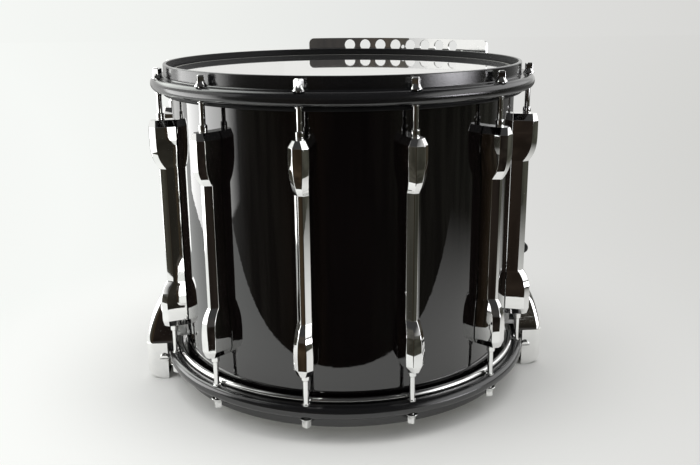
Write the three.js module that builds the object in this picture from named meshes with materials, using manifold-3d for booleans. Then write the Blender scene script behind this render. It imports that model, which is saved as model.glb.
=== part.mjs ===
// A marching snare drum, 14 inches across and 12 inches deep.
//
// Millimetres, +Z up. The drum stands on the undersides of its two snare gate covers, which
// lie on the X axis: the strainer at +X and the butt end at -X. The player stands at +Y,
// where the carrier plate is. The origin is the bottom centre of the drum's bounding box.
//
// Heads, hoops and flesh hoops are the same at both ends, so each is drawn once by its
// distance in from the head, and turned for the other end.

import * as THREE from 'three';
import { ConvexGeometry } from 'three/addons/geometries/ConvexGeometry.js';
import { mergeVertices } from 'three/addons/utils/BufferGeometryUtils.js';
import Module from 'manifold-3d';

// Driving sizes are numbers; what fits, seats or lines up with them is worked out below each.

// Shared sizes
const RING_SEGMENTS = 48;
const FIT_GAP = 0.3;
const CUT_MARGIN = 1;
const LUG_COUNT = 12;

// Shell: laminated wood with a chamfered bearing edge
const SHELL_R = 176.5;
const SHELL_WALL = 6;
const SHELL_DEPTH = 307.8;
const EDGE_ROUND = 1.5;

// Head films
const FILM_THICK = 1;
const FILM_REACH = 1.5;
const FILM_EDGE_ROUND = 1.6;
const FILM_COLLAR_DEPTH = 2.8;
const FILM_COLLAR_WALL = 0.8;
const FILM_R = SHELL_R + FILM_REACH;

// Flesh hoops: a channel with a rolled bead on its inner edge
const CHANNEL_WIDTH = 4.3;
const CHANNEL_HEIGHT = 6.2;
const WEB_WALL = 1.7;
const BEAD_R = 2.8;
const BEAD_REACH = 13.95;
const BEAD_OVERHANG = 0.3;
const CHANNEL_R = FILM_R + FIT_GAP;
const CHANNEL_OUT_R = CHANNEL_R + CHANNEL_WIDTH;

// Tension rods: the size over the flats is that of the usual drum key
const ROD_R = 2.6;
const ROD_REACH = 28;
const KEY_WIDTH = 7.2;
const KEY_HEIGHT = 10.4;
const FLARE_R = 5.9;
const FLARE_RIM = 0.9;
const FLARE_HEIGHT = 3.2;
const FLARE_TOP_R = 4;
const ROD_CLEARANCE = 0.35;

// Counter hoops: a band round the head and a half-round flange for the rods
const RIM_HEIGHT = 7;
const RIM_ROUND = 0.8;
const BAND_WALL = 3.8;
const BAND_STEP = 0.6;
const FLARE_GAP = 0.9;
const FLANGE_MARGIN = 6.5;
const FLANGE_DEPTH = 5.3;
const FLANGE_ROUND = 6;
const FLANGE_FLAT = 0.8;
const LEDGE_DROP = 0.6;
const BEAD_CLEARANCE = 0.4;
const BAND_OUT_R = CHANNEL_OUT_R + BAND_STEP;
const ROD_CIRCLE_R = BAND_OUT_R + FLARE_GAP + FLARE_R;
const FLANGE_R = ROD_CIRCLE_R + FLANGE_MARGIN;
const FLANGE_TALL = 2 * FLANGE_ROUND + FLANGE_FLAT;

// Heights of the two heads' faces over the surface that the drum stands on
const RIM_LIFT = 11.6;
const SNARE_FACE_Z = RIM_LIFT + RIM_HEIGHT;
const BATTER_FACE_Z = SNARE_FACE_Z + SHELL_DEPTH + 2 * (FILM_THICK + FIT_GAP);

// Lugs: lengths are in from the tip, rises are out from the rods, halves and flats are widths
// to one side, of the whole lug and of its front face, and bevels say how far back the
// slanted faces beside the front face reach
const LUG_OFFSET = 2.2;
const LUG_END_SPACE = 39.6;
const LUG_COLLAR_R = 4;
const LUG_COLLAR_HEIGHT = 6.5;
const LUG_SHOULDER_IN = 13.1;
const LUG_BELLY_IN = 24.3;
const LUG_NECK_IN = 37.3;
const LUG_BAR_IN = 55.3;
const LUG_TOP_HALF = 6;
const LUG_HEAD_HALF = 9.3;
const LUG_NECK_HALF = 8.6;
const LUG_BAR_HALF = 6.7;
const LUG_TOP_FLAT = 2;
const LUG_HEAD_FLAT = 4.3;
const LUG_NECK_FLAT = 3.4;
const LUG_BAR_FLAT = 1.7;
const LUG_TOP_BEVEL = 4;
const LUG_HEAD_BEVEL = 6;
const LUG_NECK_BEVEL = 5.6;
const LUG_BAR_BEVEL = 4.6;
const LUG_TOP_RISE = 10;
const LUG_HEAD_RISE = 12;
const LUG_NECK_RISE = 9.6;
const LUG_BAR_RISE = 4.4;
const BORE_SPARE = 2;
const LUG_MIDDLE_Z = (BATTER_FACE_Z + SNARE_FACE_Z) / 2 + LUG_OFFSET;
const LUG_TIP = SHELL_DEPTH / 2 - LUG_END_SPACE;

// Snare gates: each fits between two lugs, over the lower hoop
const GATE_LUG_GAP = 4.88;
const COVER_REACH = 20.8;
const COVER_WALL = 2.5;
const COVER_TAPER = 6;
const COVER_CREASE_RISE = 4.3;
const COVER_SHOULDER_RISE = 3;
const COVER_TOP_RISE = 55;
const COVER_BULGE_IN = 6.3;
const COVER_BULGE_DROP = 20;
const COVER_TOP_OUT = 20;
const COVER_BACK_OUT = 11.5;
const COVER_FLANGE_GAP = 1;
const COVER_CORNER = 10;
const COVER_EDGE = 5;
const ROOF_STEPS = 6;
const COVER_HALF = ROD_CIRCLE_R * Math.sin(Math.PI / LUG_COUNT) - LUG_HEAD_HALF - GATE_LUG_GAP;
const COVER_TOP_HALF = COVER_HALF - COVER_TAPER;
const COVER_FACE_X = FLANGE_R + COVER_REACH;
const COVER_TOP_X = SHELL_R + COVER_TOP_OUT;
const COVER_BACK_X = SHELL_R + COVER_BACK_OUT;
const COVER_CREASE_Z = SNARE_FACE_Z + FLANGE_DEPTH + FLANGE_TALL + COVER_CREASE_RISE;
const COVER_SHOULDER_Z = COVER_CREASE_Z + COVER_SHOULDER_RISE;
const COVER_TOP_Z = COVER_CREASE_Z + COVER_TOP_RISE;
const COVER_BULGE_X = COVER_FACE_X - COVER_BULGE_IN;
const COVER_BULGE_Z = COVER_TOP_Z - COVER_BULGE_DROP;

const SCREW_OUT = 2;
const SCREW_Z = 24;
const SCREW_SHANK_R = 1.5;
const SCREW_HEAD_R = 3.9;
const SCREW_HEAD_HEIGHT = 2.4;
const SCREW_RIM_HEIGHT = 0.8;
const SCREW_DOME_R = 2.6;
const SCREW_DOME_HEIGHT = 2;
const SCREW_X = FLANGE_R + SCREW_OUT;

// Gate brackets
const BASE_SIDE_ROOM = 8;
const BASE_BACK_WALL = 4.5;
const BASE_SHELF_RISE = 5;
const BASE_SHELF_WALL = 4.5;
const BASE_TOP_DROP = 6;
const BASE_LEG_SIDE_ROOM = 5;
const BASE_LEG_WALL = 2.8;
const BASE_LEG_OUT = 9.3;
const BASE_LEG_FOOT_Z = 8;
const TAB_WALL = 3.6;
const TAB_HALF = 10;
const BASE_HALF = COVER_HALF - BASE_SIDE_ROOM;
const BASE_LEG_HALF = COVER_HALF - BASE_LEG_SIDE_ROOM;
const BASE_SHELF_Z = COVER_CREASE_Z + BASE_SHELF_RISE;
const BASE_TOP_Z = COVER_TOP_Z - BASE_TOP_DROP;
const BASE_LEG_X = FLANGE_R + BASE_LEG_OUT;

// Throw-off lever, and the ribs that hold it
const PIVOT_OUT = 13.5;
const PIVOT_RISE = 4;
const EAR_R = 6.5;
const EAR_WALL = 4;
const RIB_ROOT = 2;
const RIB_FOOT_OUT = 12;
const RIB_TOP_OUT = 5;
const RIB_EAR_HALF = 5.5;
const RIB_EAR_DROP = 3.4;
const LEVER_HALF = 9;
const LEVER_HUB_R = 6;
const LEVER_PIN_R = 2.8;
const LEVER_PIN_PROUD = 0.8;
const LEVER_ARM_HALF = 7.5;
const LEVER_ARM_WALL = 5;
const NOTCH_DROP = 12;
const NOTCH_GAP = 1.5;
const GRIP_OUT = 7.5;
const GRIP_RISE = 28.8;
const GRIP_R = 6;
const GRIP_HALF = 13;
const GRIP_LAP = 1.5;
const PIVOT_X = SHELL_R + PIVOT_OUT;
const PIVOT_Z = COVER_TOP_Z + PIVOT_RISE;
const NOTCH_Z = COVER_TOP_Z - NOTCH_DROP;

// Snares, and the holder under their plate at each end
const STRAND_COUNT = 12;
const STRAND_R = 0.6;
const STRAND_EDGE = 2.2;
const END_PLATE_OUT = 5.8;
const END_PLATE_WALL = 2.4;
const END_PLATE_GAP = 2.5;
const END_PLATE_SIDE_ROOM = 2;
const HOLDER_SIDE_ROOM = 11;
const HOLDER_WALL = 5;
const HOLDER_TOP_DROP = 4;
const HOLDER_FOOT_Z = 9.5;
const HOLDER_LAP = 0.5;
const GATE_SIDE_ROOM = 4;
const GATE_ROOF = 1;
const STRAND_Z = SNARE_FACE_Z - FIT_GAP - STRAND_R;
const HOLDER_HALF = COVER_HALF - HOLDER_SIDE_ROOM;
const HOLDER_OUTER_X = BASE_LEG_X - FIT_GAP;
const END_PLATE_HALF = HOLDER_HALF - END_PLATE_SIDE_ROOM;
const END_PLATE_INNER_X = BAND_OUT_R + END_PLATE_OUT;
const END_PLATE_OUTER_X = HOLDER_OUTER_X - HOLDER_WALL - END_PLATE_GAP;
const STRAND_PITCH = (2 * (END_PLATE_HALF - STRAND_EDGE)) / (STRAND_COUNT - 1);
const GATE_HALF = HOLDER_HALF + GATE_SIDE_ROOM;

// Carrier plate, clamped to the rods of two lugs
const CLAMP_LUGS = [4, 5];
const CLAMP_HALF = 9;
const CLAMP_DEPTH = 7.5;
const CLAMP_LIFT = 2.5;
const CLAMP_HEADROOM = 0.75;
const PLATE_GAP = 5.5;
const PLATE_WALL = 2.5;
const PLATE_FIRST_DEG = 13.5;
const PLATE_LAST_DEG = 22.8;
const PLATE_SEGMENTS = 16;
const PLATE_RISE = 18.5;
const PLATE_SKIRT = 7.3;
const PLATE_CORNER = 6;
const PLATE_CUT = 15;
const HOLE_COUNT = 8;
const HOLE_R = 6.5;
const HOLE_PITCH_DEG = 5.38;
const HOLE_EDGE = 2;
const PIN_HOLE_R = 2.2;
const PIN_HOLE_DROP = 2;
const PLATE_R = ROD_CIRCLE_R + LUG_HEAD_RISE + PLATE_GAP;
const PLATE_TOP_Z = BATTER_FACE_Z + PLATE_RISE;
const CLAMP_LOW_Z = LUG_MIDDLE_Z + LUG_TIP + CLAMP_LIFT;
const PLATE_FOOT_Z = CLAMP_LOW_Z - PLATE_SKIRT;

const wasm = await Module();
wasm.setup();

// Looks

function finish(color, roughness, metalness) {
  return new THREE.MeshStandardMaterial({ color, roughness, metalness });
}

const chrome = () => finish(0xd4d6d8, 0.08, 1);
const lacquer = () => finish(0x040304, 0.06, 0);
const hoopBlack = () => finish(0x0c0c0e, 0.28, 0.2);

// Solids

// Leaves out the triangles that shrink to a line where a turned outline meets its axis.
function wholeTriangles(index) {
  const kept = [];
  for (let i = 0; i < index.length; i += 3) {
    const [a, b, c] = index.slice(i, i + 3);
    if (a !== b && b !== c && c !== a) kept.push(a, b, c);
  }
  return kept;
}

function toSolid(geometry) {
  const bare = geometry.clone();
  bare.deleteAttribute('normal');
  bare.deleteAttribute('uv');
  const merged = mergeVertices(bare, 1e-4);
  return new wasm.Manifold(
    new wasm.Mesh({
      numProp: 3,
      vertProperties: new Float32Array(merged.attributes.position.array),
      triVerts: new Uint32Array(wholeTriangles(merged.index.array)),
    }),
  );
}

function toGeometry(solid) {
  const mesh = solid.getMesh();
  const geometry = new THREE.BufferGeometry();
  geometry.setAttribute('position', new THREE.BufferAttribute(mesh.vertProperties, 3));
  geometry.setIndex(new THREE.BufferAttribute(mesh.triVerts, 1));
  geometry.computeVertexNormals();
  return geometry;
}

function joined(solids) {
  return solids.reduce((whole, solid) => whole.add(solid));
}

// Points along an arc in an outline, between two angles in degrees.
function arcPoints(middleX, middleZ, radius, fromDegrees, toDegrees, steps) {
  const points = [];
  for (let i = 0; i <= steps; i += 1) {
    const degrees = fromDegrees + ((toDegrees - fromDegrees) * i) / steps;
    const angle = THREE.MathUtils.degToRad(degrees);
    points.push([middleX + radius * Math.cos(angle), middleZ + radius * Math.sin(angle)]);
  }
  return points;
}

function shapeOf(points) {
  return new THREE.Shape(points.map(([x, y]) => new THREE.Vector2(x, y)));
}

// A ring or disc turned about Z from a closed outline of [radius, z] points.
function turned(points, segments = RING_SEGMENTS) {
  const area = THREE.ShapeUtils.area(points.map(([x, y]) => new THREE.Vector2(x, y)));
  const outline = area > 0 ? points : [...points].reverse();
  const profile = outline.map(([x, y]) => new THREE.Vector2(x, y));
  if (points.every(([r]) => r > 0)) profile.push(profile[0].clone());
  const geometry = new THREE.LatheGeometry(profile, segments);
  geometry.rotateX(Math.PI / 2);
  return toSolid(geometry);
}

// A shape in the XZ plane, as thick as the stretch of Y that it is given.
function sideExtruded(shape, fromY, toY) {
  const geometry = new THREE.ExtrudeGeometry(shape, {
    depth: toY - fromY,
    bevelEnabled: false,
    curveSegments: 4,
  });
  geometry.rotateX(Math.PI / 2);
  geometry.translate(0, toY, 0);
  return toSolid(geometry);
}

// A shape in the YZ plane, as thick as the stretch of X that it is given.
function frontExtruded(shape, fromX, toX) {
  const geometry = new THREE.ExtrudeGeometry(shape, { depth: toX - fromX, bevelEnabled: false });
  geometry.rotateX(Math.PI / 2);
  geometry.rotateZ(Math.PI / 2);
  geometry.translate(fromX, 0, 0);
  return toSolid(geometry);
}

function block(fromX, toX, fromY, toY, fromZ, toZ) {
  const geometry = new THREE.BoxGeometry(toX - fromX, toY - fromY, toZ - fromZ);
  geometry.translate((fromX + toX) / 2, (fromY + toY) / 2, (fromZ + toZ) / 2);
  return toSolid(geometry);
}

function uprightRod(radius, x, y, fromZ, toZ, segments = 10) {
  const geometry = new THREE.CylinderGeometry(radius, radius, Math.abs(toZ - fromZ), segments);
  geometry.rotateX(Math.PI / 2);
  geometry.translate(x, y, (fromZ + toZ) / 2);
  return toSolid(geometry);
}

// A round bar along Y.
function crossRod(radius, x, z, fromY, toY, segments = 12) {
  const geometry = new THREE.CylinderGeometry(radius, radius, Math.abs(toY - fromY), segments);
  geometry.translate(x, (fromY + toY) / 2, z);
  return toSolid(geometry);
}

// The shell and both ends of it

function shell() {
  const bottom = SNARE_FACE_Z + FILM_THICK + FIT_GAP;
  const top = BATTER_FACE_Z - FILM_THICK - FIT_GAP;
  const inner = SHELL_R - SHELL_WALL;
  const chamfer = SHELL_WALL - EDGE_ROUND;
  return turned([
    [inner, bottom + chamfer],
    [SHELL_R - EDGE_ROUND, bottom],
    [SHELL_R, bottom + EDGE_ROUND],
    [SHELL_R, top - EDGE_ROUND],
    [SHELL_R - EDGE_ROUND, top],
    [inner, top - chamfer],
  ]);
}

// The height at a distance in from either head.
const batterEnd = (depth) => BATTER_FACE_Z - depth;
const snareEnd = (depth) => SNARE_FACE_Z + depth;

function endRing(outline, heightOf) {
  return turned(outline.map(([radius, depth]) => [radius, heightOf(depth)]));
}

function filmOutline() {
  const collarInner = FILM_R - FILM_COLLAR_WALL;
  return [
    [0, 0],
    [FILM_R - FILM_EDGE_ROUND, 0],
    [FILM_R, FILM_EDGE_ROUND],
    [FILM_R, FILM_COLLAR_DEPTH],
    [collarInner, FILM_COLLAR_DEPTH],
    [collarInner, FILM_THICK + FILM_EDGE_ROUND - FILM_COLLAR_WALL],
    [collarInner - FILM_COLLAR_WALL, FILM_THICK],
    [0, FILM_THICK],
  ];
}

const hoopLedge = FLANGE_DEPTH + LEDGE_DROP;

function fleshHoopOutline() {
  const nearEnd = hoopLedge + FIT_GAP;
  const channelEnd = nearEnd + CHANNEL_HEIGHT;
  const beadDepth = nearEnd + BEAD_REACH;
  const beadMiddle = CHANNEL_OUT_R + BEAD_OVERHANG;
  const webInner = CHANNEL_OUT_R - WEB_WALL;
  return [
    [CHANNEL_R, nearEnd],
    [CHANNEL_OUT_R, nearEnd],
    ...arcPoints(beadMiddle, beadDepth, BEAD_R, -95, 215, 7),
    [webInner, channelEnd],
    [CHANNEL_R, channelEnd],
  ];
}

function hoopOutline() {
  const bandInner = BAND_OUT_R - BAND_WALL;
  const flangeEnd = FLANGE_DEPTH + FLANGE_TALL;
  const bore = CHANNEL_OUT_R + BEAD_CLEARANCE;
  const beadSpaceR = CHANNEL_OUT_R + BEAD_OVERHANG + BEAD_R + BEAD_CLEARANCE;
  const beadSpaceDepth = hoopLedge + FIT_GAP + BEAD_REACH - BEAD_R - BEAD_CLEARANCE;
  const roundR = FLANGE_R - FLANGE_ROUND;
  return [
    [bandInner, -RIM_HEIGHT + RIM_ROUND],
    [bandInner + RIM_ROUND, -RIM_HEIGHT],
    [BAND_OUT_R - RIM_ROUND, -RIM_HEIGHT],
    [BAND_OUT_R, -RIM_HEIGHT + RIM_ROUND],
    [BAND_OUT_R, FLANGE_DEPTH],
    ...arcPoints(roundR, FLANGE_DEPTH + FLANGE_ROUND, FLANGE_ROUND, -90, 0, 3),
    ...arcPoints(roundR, flangeEnd - FLANGE_ROUND, FLANGE_ROUND, 0, 90, 3),
    [beadSpaceR, flangeEnd],
    [beadSpaceR, beadSpaceDepth],
    [bore, beadSpaceDepth],
    [bore, hoopLedge],
    [bandInner, hoopLedge],
  ];
}

const lugAngle = (index) => ((index + 0.5) * 2 * Math.PI) / LUG_COUNT;

// The place at an angle from the front of the drum towards +X.
function around(angle, radius) {
  return [radius * Math.sin(angle), -radius * Math.cos(angle)];
}

// How far out a circle round the axis reaches on X at a distance to one side.
const chordX = (radius, side) => Math.sqrt(radius ** 2 - side ** 2);

function hoop(heightOf) {
  let solid = endRing(hoopOutline(), heightOf);
  const near = heightOf(FLANGE_DEPTH - CUT_MARGIN);
  const far = heightOf(FLANGE_DEPTH + FLANGE_TALL + CUT_MARGIN);
  for (let i = 0; i < LUG_COUNT; i += 1) {
    const [x, y] = around(lugAngle(i), ROD_CIRCLE_R);
    solid = solid.subtract(uprightRod(ROD_R + ROD_CLEARANCE, x, y, near, far, 8));
  }
  return solid;
}

// The snares pass out through a gate in the band on each side.
function snareHoop() {
  const underside = snareEnd(FLANGE_DEPTH) - GATE_ROOF;
  const lowest = snareEnd(-RIM_HEIGHT) - CUT_MARGIN;
  const inner = chordX(BAND_OUT_R - BAND_WALL, GATE_HALF) - CUT_MARGIN;
  const outer = BAND_OUT_R + CUT_MARGIN;
  return hoop(snareEnd)
    .subtract(block(inner, outer, -GATE_HALF, GATE_HALF, lowest, underside))
    .subtract(block(-outer, -inner, -GATE_HALF, GATE_HALF, lowest, underside));
}

// Tension rods, drawn with the seat at Z = 0, the key above it and the shaft below

function tensionRod(shaft) {
  const collar = turned(
    [
      [0, -shaft],
      [ROD_R, -shaft],
      [ROD_R, 0],
      [FLARE_R, 0],
      [FLARE_R, FLARE_RIM],
      [FLARE_TOP_R, FLARE_HEIGHT],
      [0, FLARE_HEIGHT],
    ],
    10,
  );
  const half = KEY_WIDTH / 2;
  return collar.add(block(-half, half, -half, half, FLARE_RIM, KEY_HEIGHT));
}

const batterSeatZ = batterEnd(FLANGE_DEPTH) + FIT_GAP;
const snareSeatZ = snareEnd(FLANGE_DEPTH) - FIT_GAP;
const batterShaft = batterSeatZ - (LUG_MIDDLE_Z + LUG_TIP - ROD_REACH);
const snareShaft = LUG_MIDDLE_Z - LUG_TIP + ROD_REACH - snareSeatZ;

// Lugs, drawn with the drum's radius along X and the middle of the lug at Z = 0

function lugSection([half, flat, bevel, rise, z]) {
  const front = ROD_CIRCLE_R + rise;
  const back = SHELL_R + FIT_GAP;
  return [-1, 1].flatMap((side) => [
    new THREE.Vector3(front, side * flat, z),
    new THREE.Vector3(front - bevel, side * half, z),
    new THREE.Vector3(back, side * half, z),
  ]);
}

function lug() {
  const top = [LUG_TOP_HALF, LUG_TOP_FLAT, LUG_TOP_BEVEL, LUG_TOP_RISE];
  const head = [LUG_HEAD_HALF, LUG_HEAD_FLAT, LUG_HEAD_BEVEL, LUG_HEAD_RISE];
  const neck = [LUG_NECK_HALF, LUG_NECK_FLAT, LUG_NECK_BEVEL, LUG_NECK_RISE];
  const bar = [LUG_BAR_HALF, LUG_BAR_FLAT, LUG_BAR_BEVEL, LUG_BAR_RISE];
  const upper = [
    [...top, LUG_TIP - LUG_COLLAR_HEIGHT],
    [...head, LUG_TIP - LUG_SHOULDER_IN],
    [...head, LUG_TIP - LUG_BELLY_IN],
    [...neck, LUG_TIP - LUG_NECK_IN],
    [...bar, LUG_TIP - LUG_BAR_IN],
  ];
  const lower = upper.map((station) => [...station.slice(0, -1), -station.at(-1)]).reverse();
  const sections = [...upper, ...lower].map(lugSection);
  const pieces = sections.slice(1).map((section, i) => {
    return toSolid(new ConvexGeometry([...sections[i], ...section]));
  });
  let solid = joined(pieces);
  for (const end of [-1, 1]) {
    const collarRoot = end * (LUG_TIP - LUG_COLLAR_HEIGHT - CUT_MARGIN);
    const boreFloor = end * (LUG_TIP - ROD_REACH - BORE_SPARE);
    const mouth = end * (LUG_TIP + CUT_MARGIN);
    const boreR = ROD_R + ROD_CLEARANCE;
    solid = solid
      .add(uprightRod(LUG_COLLAR_R, ROD_CIRCLE_R, 0, collarRoot, end * LUG_TIP))
      .subtract(uprightRod(boreR, ROD_CIRCLE_R, 0, boreFloor, mouth, 8));
  }
  return solid;
}

// Snare gates, drawn for the end at +X

const roofCurve = new THREE.QuadraticBezierCurve(
  new THREE.Vector2(COVER_FACE_X, COVER_SHOULDER_Z),
  new THREE.Vector2(COVER_BULGE_X, COVER_BULGE_Z),
  new THREE.Vector2(COVER_TOP_X, COVER_TOP_Z),
);

// The cover's side outline, drawn in by an inset to give the hollow inside it.
function coverSide(inset, backX, lowX) {
  const corner = COVER_CORNER - inset;
  const cornerX = COVER_FACE_X - COVER_CORNER;
  const points = [[lowX, inset], ...arcPoints(cornerX, COVER_CORNER, corner, -90, 0, 4)];
  for (let i = 0; i <= ROOF_STEPS; i += 1) {
    const place = roofCurve.getPoint(i / ROOF_STEPS);
    const along = roofCurve.getTangent(i / ROOF_STEPS);
    points.push([place.x - along.y * inset, place.y + along.x * inset]);
  }
  const topZ = points.at(-1)[1];
  points.push([backX, topZ], [backX, COVER_CREASE_Z]);
  if (lowX !== backX) points.push([lowX, COVER_CREASE_Z]);
  return shapeOf(points);
}

function coverFront(inset) {
  const half = COVER_HALF - inset;
  const topHalf = COVER_TOP_HALF - inset;
  const topZ = COVER_TOP_Z - inset;
  return shapeOf([
    [-half, 0],
    [half, 0],
    [half, COVER_CREASE_Z],
    [topHalf, topZ],
    [-topHalf, topZ],
    [-half, COVER_CREASE_Z],
  ]);
}

// The cover from above, with its upright edges rounded.
function coverPlan() {
  const middleX = COVER_FACE_X - COVER_EDGE;
  const middleY = COVER_HALF - COVER_EDGE;
  const shape = shapeOf([
    [SHELL_R, -COVER_HALF],
    ...arcPoints(middleX, -middleY, COVER_EDGE, -90, 0, 3),
    ...arcPoints(middleX, middleY, COVER_EDGE, 0, 90, 3),
    [SHELL_R, COVER_HALF],
  ]);
  const depth = COVER_TOP_Z + 2 * CUT_MARGIN;
  const geometry = new THREE.ExtrudeGeometry(shape, { depth, bevelEnabled: false });
  geometry.translate(0, 0, -CUT_MARGIN);
  return toSolid(geometry);
}

function gateCover() {
  const innerHalf = COVER_HALF - COVER_WALL;
  const lowX = chordX(FLANGE_R, innerHalf) + COVER_FLANGE_GAP;
  const outer = sideExtruded(coverSide(0, COVER_BACK_X, lowX), -COVER_HALF, COVER_HALF)
    .intersect(frontExtruded(coverFront(0), SHELL_R, COVER_FACE_X))
    .intersect(coverPlan());
  const hollow = sideExtruded(coverSide(COVER_WALL, SHELL_R, SHELL_R), -innerHalf, innerHalf)
    .intersect(frontExtruded(coverFront(COVER_WALL), SHELL_R, COVER_FACE_X));
  const reach = COVER_HALF + CUT_MARGIN;
  const screwHole = crossRod(SCREW_SHANK_R + FIT_GAP, SCREW_X, SCREW_Z, -reach, reach);
  return outer.subtract(hollow).subtract(screwHole);
}

// The strainer's cover is open at the top, where the lever stands.
function strainerCover() {
  const half = LEVER_HALF + FIT_GAP + EAR_WALL + NOTCH_GAP;
  const highest = COVER_TOP_Z + CUT_MARGIN;
  return gateCover().subtract(block(SHELL_R, COVER_FACE_X, -half, half, NOTCH_Z, highest));
}

function gateBase() {
  const legOuter = BASE_LEG_X + BASE_LEG_WALL;
  const shelfTop = BASE_SHELF_Z + BASE_SHELF_WALL;
  const backOuter = SHELL_R + BASE_BACK_WALL;
  const root = chordX(SHELL_R, BASE_HALF) - CUT_MARGIN;
  const tabOuter = COVER_HALF - COVER_WALL - FIT_GAP;
  const tabInner = tabOuter - TAB_WALL;
  const tabX = chordX(FLANGE_R, tabInner) + COVER_FLANGE_GAP;
  const [tabLow, tabHigh] = [SCREW_Z - TAB_HALF, SCREW_Z + TAB_HALF];
  const shellSpace = turned([
    [0, BASE_SHELF_Z - CUT_MARGIN],
    [SHELL_R + FIT_GAP, BASE_SHELF_Z - CUT_MARGIN],
    [SHELL_R + FIT_GAP, BASE_TOP_Z + CUT_MARGIN],
    [0, BASE_TOP_Z + CUT_MARGIN],
  ]);
  return joined([
    block(root, backOuter, -BASE_HALF, BASE_HALF, BASE_SHELF_Z, BASE_TOP_Z),
    block(root, legOuter, -BASE_HALF, BASE_HALF, BASE_SHELF_Z, shelfTop),
    block(BASE_LEG_X, legOuter, -BASE_LEG_HALF, BASE_LEG_HALF, BASE_LEG_FOOT_Z, shelfTop),
    block(tabX, legOuter, tabInner, tabOuter, tabLow, tabHigh),
    block(tabX, legOuter, -tabOuter, -tabInner, tabLow, tabHigh),
  ])
    .subtract(shellSpace)
    .subtract(crossRod(SCREW_SHANK_R + FIT_GAP, SCREW_X, SCREW_Z, -COVER_HALF, COVER_HALF));
}

// Two ribs stand on the strainer's shelf and end in the ears that hold the lever.
function strainerBase() {
  const backX = SHELL_R + BASE_BACK_WALL - RIB_ROOT;
  const rib = shapeOf([
    [backX, BASE_SHELF_Z + RIB_ROOT],
    [PIVOT_X + RIB_FOOT_OUT, BASE_SHELF_Z + RIB_ROOT],
    [PIVOT_X + RIB_TOP_OUT, NOTCH_Z],
    [PIVOT_X + RIB_EAR_HALF, PIVOT_Z - RIB_EAR_DROP],
    [PIVOT_X - RIB_EAR_HALF, PIVOT_Z - RIB_EAR_DROP],
    [backX, BASE_TOP_Z - BASE_BACK_WALL],
  ]);
  const near = LEVER_HALF + FIT_GAP;
  const far = near + EAR_WALL;
  const reach = far + CUT_MARGIN;
  const sides = [
    [-far, -near],
    [near, far],
  ];
  const parts = sides.flatMap(([from, to]) => [
    sideExtruded(rib, from, to),
    crossRod(EAR_R, PIVOT_X, PIVOT_Z, from, to, 16),
  ]);
  return joined([gateBase(), ...parts])
    .subtract(crossRod(LEVER_PIN_R + FIT_GAP, PIVOT_X, PIVOT_Z, -reach, reach));
}

// The holder under the snares' end plate: the strainer's carriage and the butt's clamp.
function snareHolder() {
  const half = HOLDER_HALF;
  const outer = HOLDER_OUTER_X;
  const foot = HOLDER_FOOT_Z;
  const topZ = BASE_SHELF_Z - HOLDER_TOP_DROP;
  const barTop = STRAND_Z - END_PLATE_WALL / 2 - FIT_GAP;
  const plate = block(outer - HOLDER_WALL, outer, -half, half, foot, topZ);
  const bar = block(END_PLATE_INNER_X - HOLDER_LAP, outer, -half, half, foot, barTop);
  return plate.add(bar);
}

function snares() {
  const half = END_PLATE_WALL / 2;
  const length = END_PLATE_INNER_X + END_PLATE_OUTER_X;
  const solids = [-1, 1].map((side) => {
    const [from, to] = [side * END_PLATE_INNER_X, side * END_PLATE_OUTER_X].sort((a, b) => a - b);
    return block(from, to, -END_PLATE_HALF, END_PLATE_HALF, STRAND_Z - half, STRAND_Z + half);
  });
  for (let i = 0; i < STRAND_COUNT; i += 1) {
    const strand = new THREE.CylinderGeometry(STRAND_R, STRAND_R, length, 6);
    strand.rotateZ(Math.PI / 2);
    strand.translate(0, (i - (STRAND_COUNT - 1) / 2) * STRAND_PITCH, STRAND_Z);
    solids.push(toSolid(strand));
  }
  return joined(solids);
}

// The cover screw, drawn with its head's underside at Z = 0 and the head above it.
function coverScrew() {
  const shank = COVER_WALL + FIT_GAP + TAB_WALL;
  return turned(
    [
      [0, -shank],
      [SCREW_SHANK_R, -shank],
      [SCREW_SHANK_R, 0],
      [SCREW_HEAD_R, 0],
      [SCREW_HEAD_R, SCREW_RIM_HEIGHT],
      [SCREW_DOME_R, SCREW_DOME_HEIGHT],
      [0, SCREW_HEAD_HEIGHT],
    ],
    12,
  );
}

// Throw-off lever, drawn upright on its pivot

const leverLength = Math.hypot(GRIP_OUT, GRIP_RISE);
const leverLean = Math.atan2(GRIP_OUT, GRIP_RISE);
const leverTip = leverLength + GRIP_LAP;

function throwLever() {
  const half = LEVER_ARM_WALL / 2;
  const pinReach = LEVER_HALF + FIT_GAP + EAR_WALL + LEVER_PIN_PROUD;
  return joined([
    crossRod(LEVER_HUB_R, 0, 0, -LEVER_HALF, LEVER_HALF, 16),
    crossRod(LEVER_PIN_R, 0, 0, -pinReach, pinReach),
    block(-half, half, -LEVER_ARM_HALF, LEVER_ARM_HALF, 0, leverTip),
  ]);
}

function leverGrip() {
  const half = LEVER_ARM_WALL / 2 + FIT_GAP;
  const side = LEVER_ARM_HALF + FIT_GAP;
  const foot = leverLength - GRIP_R - CUT_MARGIN;
  const body = crossRod(GRIP_R, 0, leverLength, -GRIP_HALF, GRIP_HALF, 16);
  return body.subtract(block(-half, half, -side, side, foot, leverTip + FIT_GAP));
}

// Carrier plate and clamps

// A lug's angle from +X, which is where the plate's own shape starts.
const clampAngle = (index) => lugAngle(index) - Math.PI / 2;

// A round bar along the drum's radius, at an angle from the +X axis.
function radialRod(radius, angle, z, segments = 12) {
  const geometry = new THREE.CylinderGeometry(radius, radius, PLATE_CUT, segments);
  geometry.rotateZ(Math.PI / 2);
  geometry.translate(PLATE_R + PLATE_WALL / 2, 0, z);
  geometry.rotateZ(angle);
  return toSolid(geometry);
}

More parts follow.
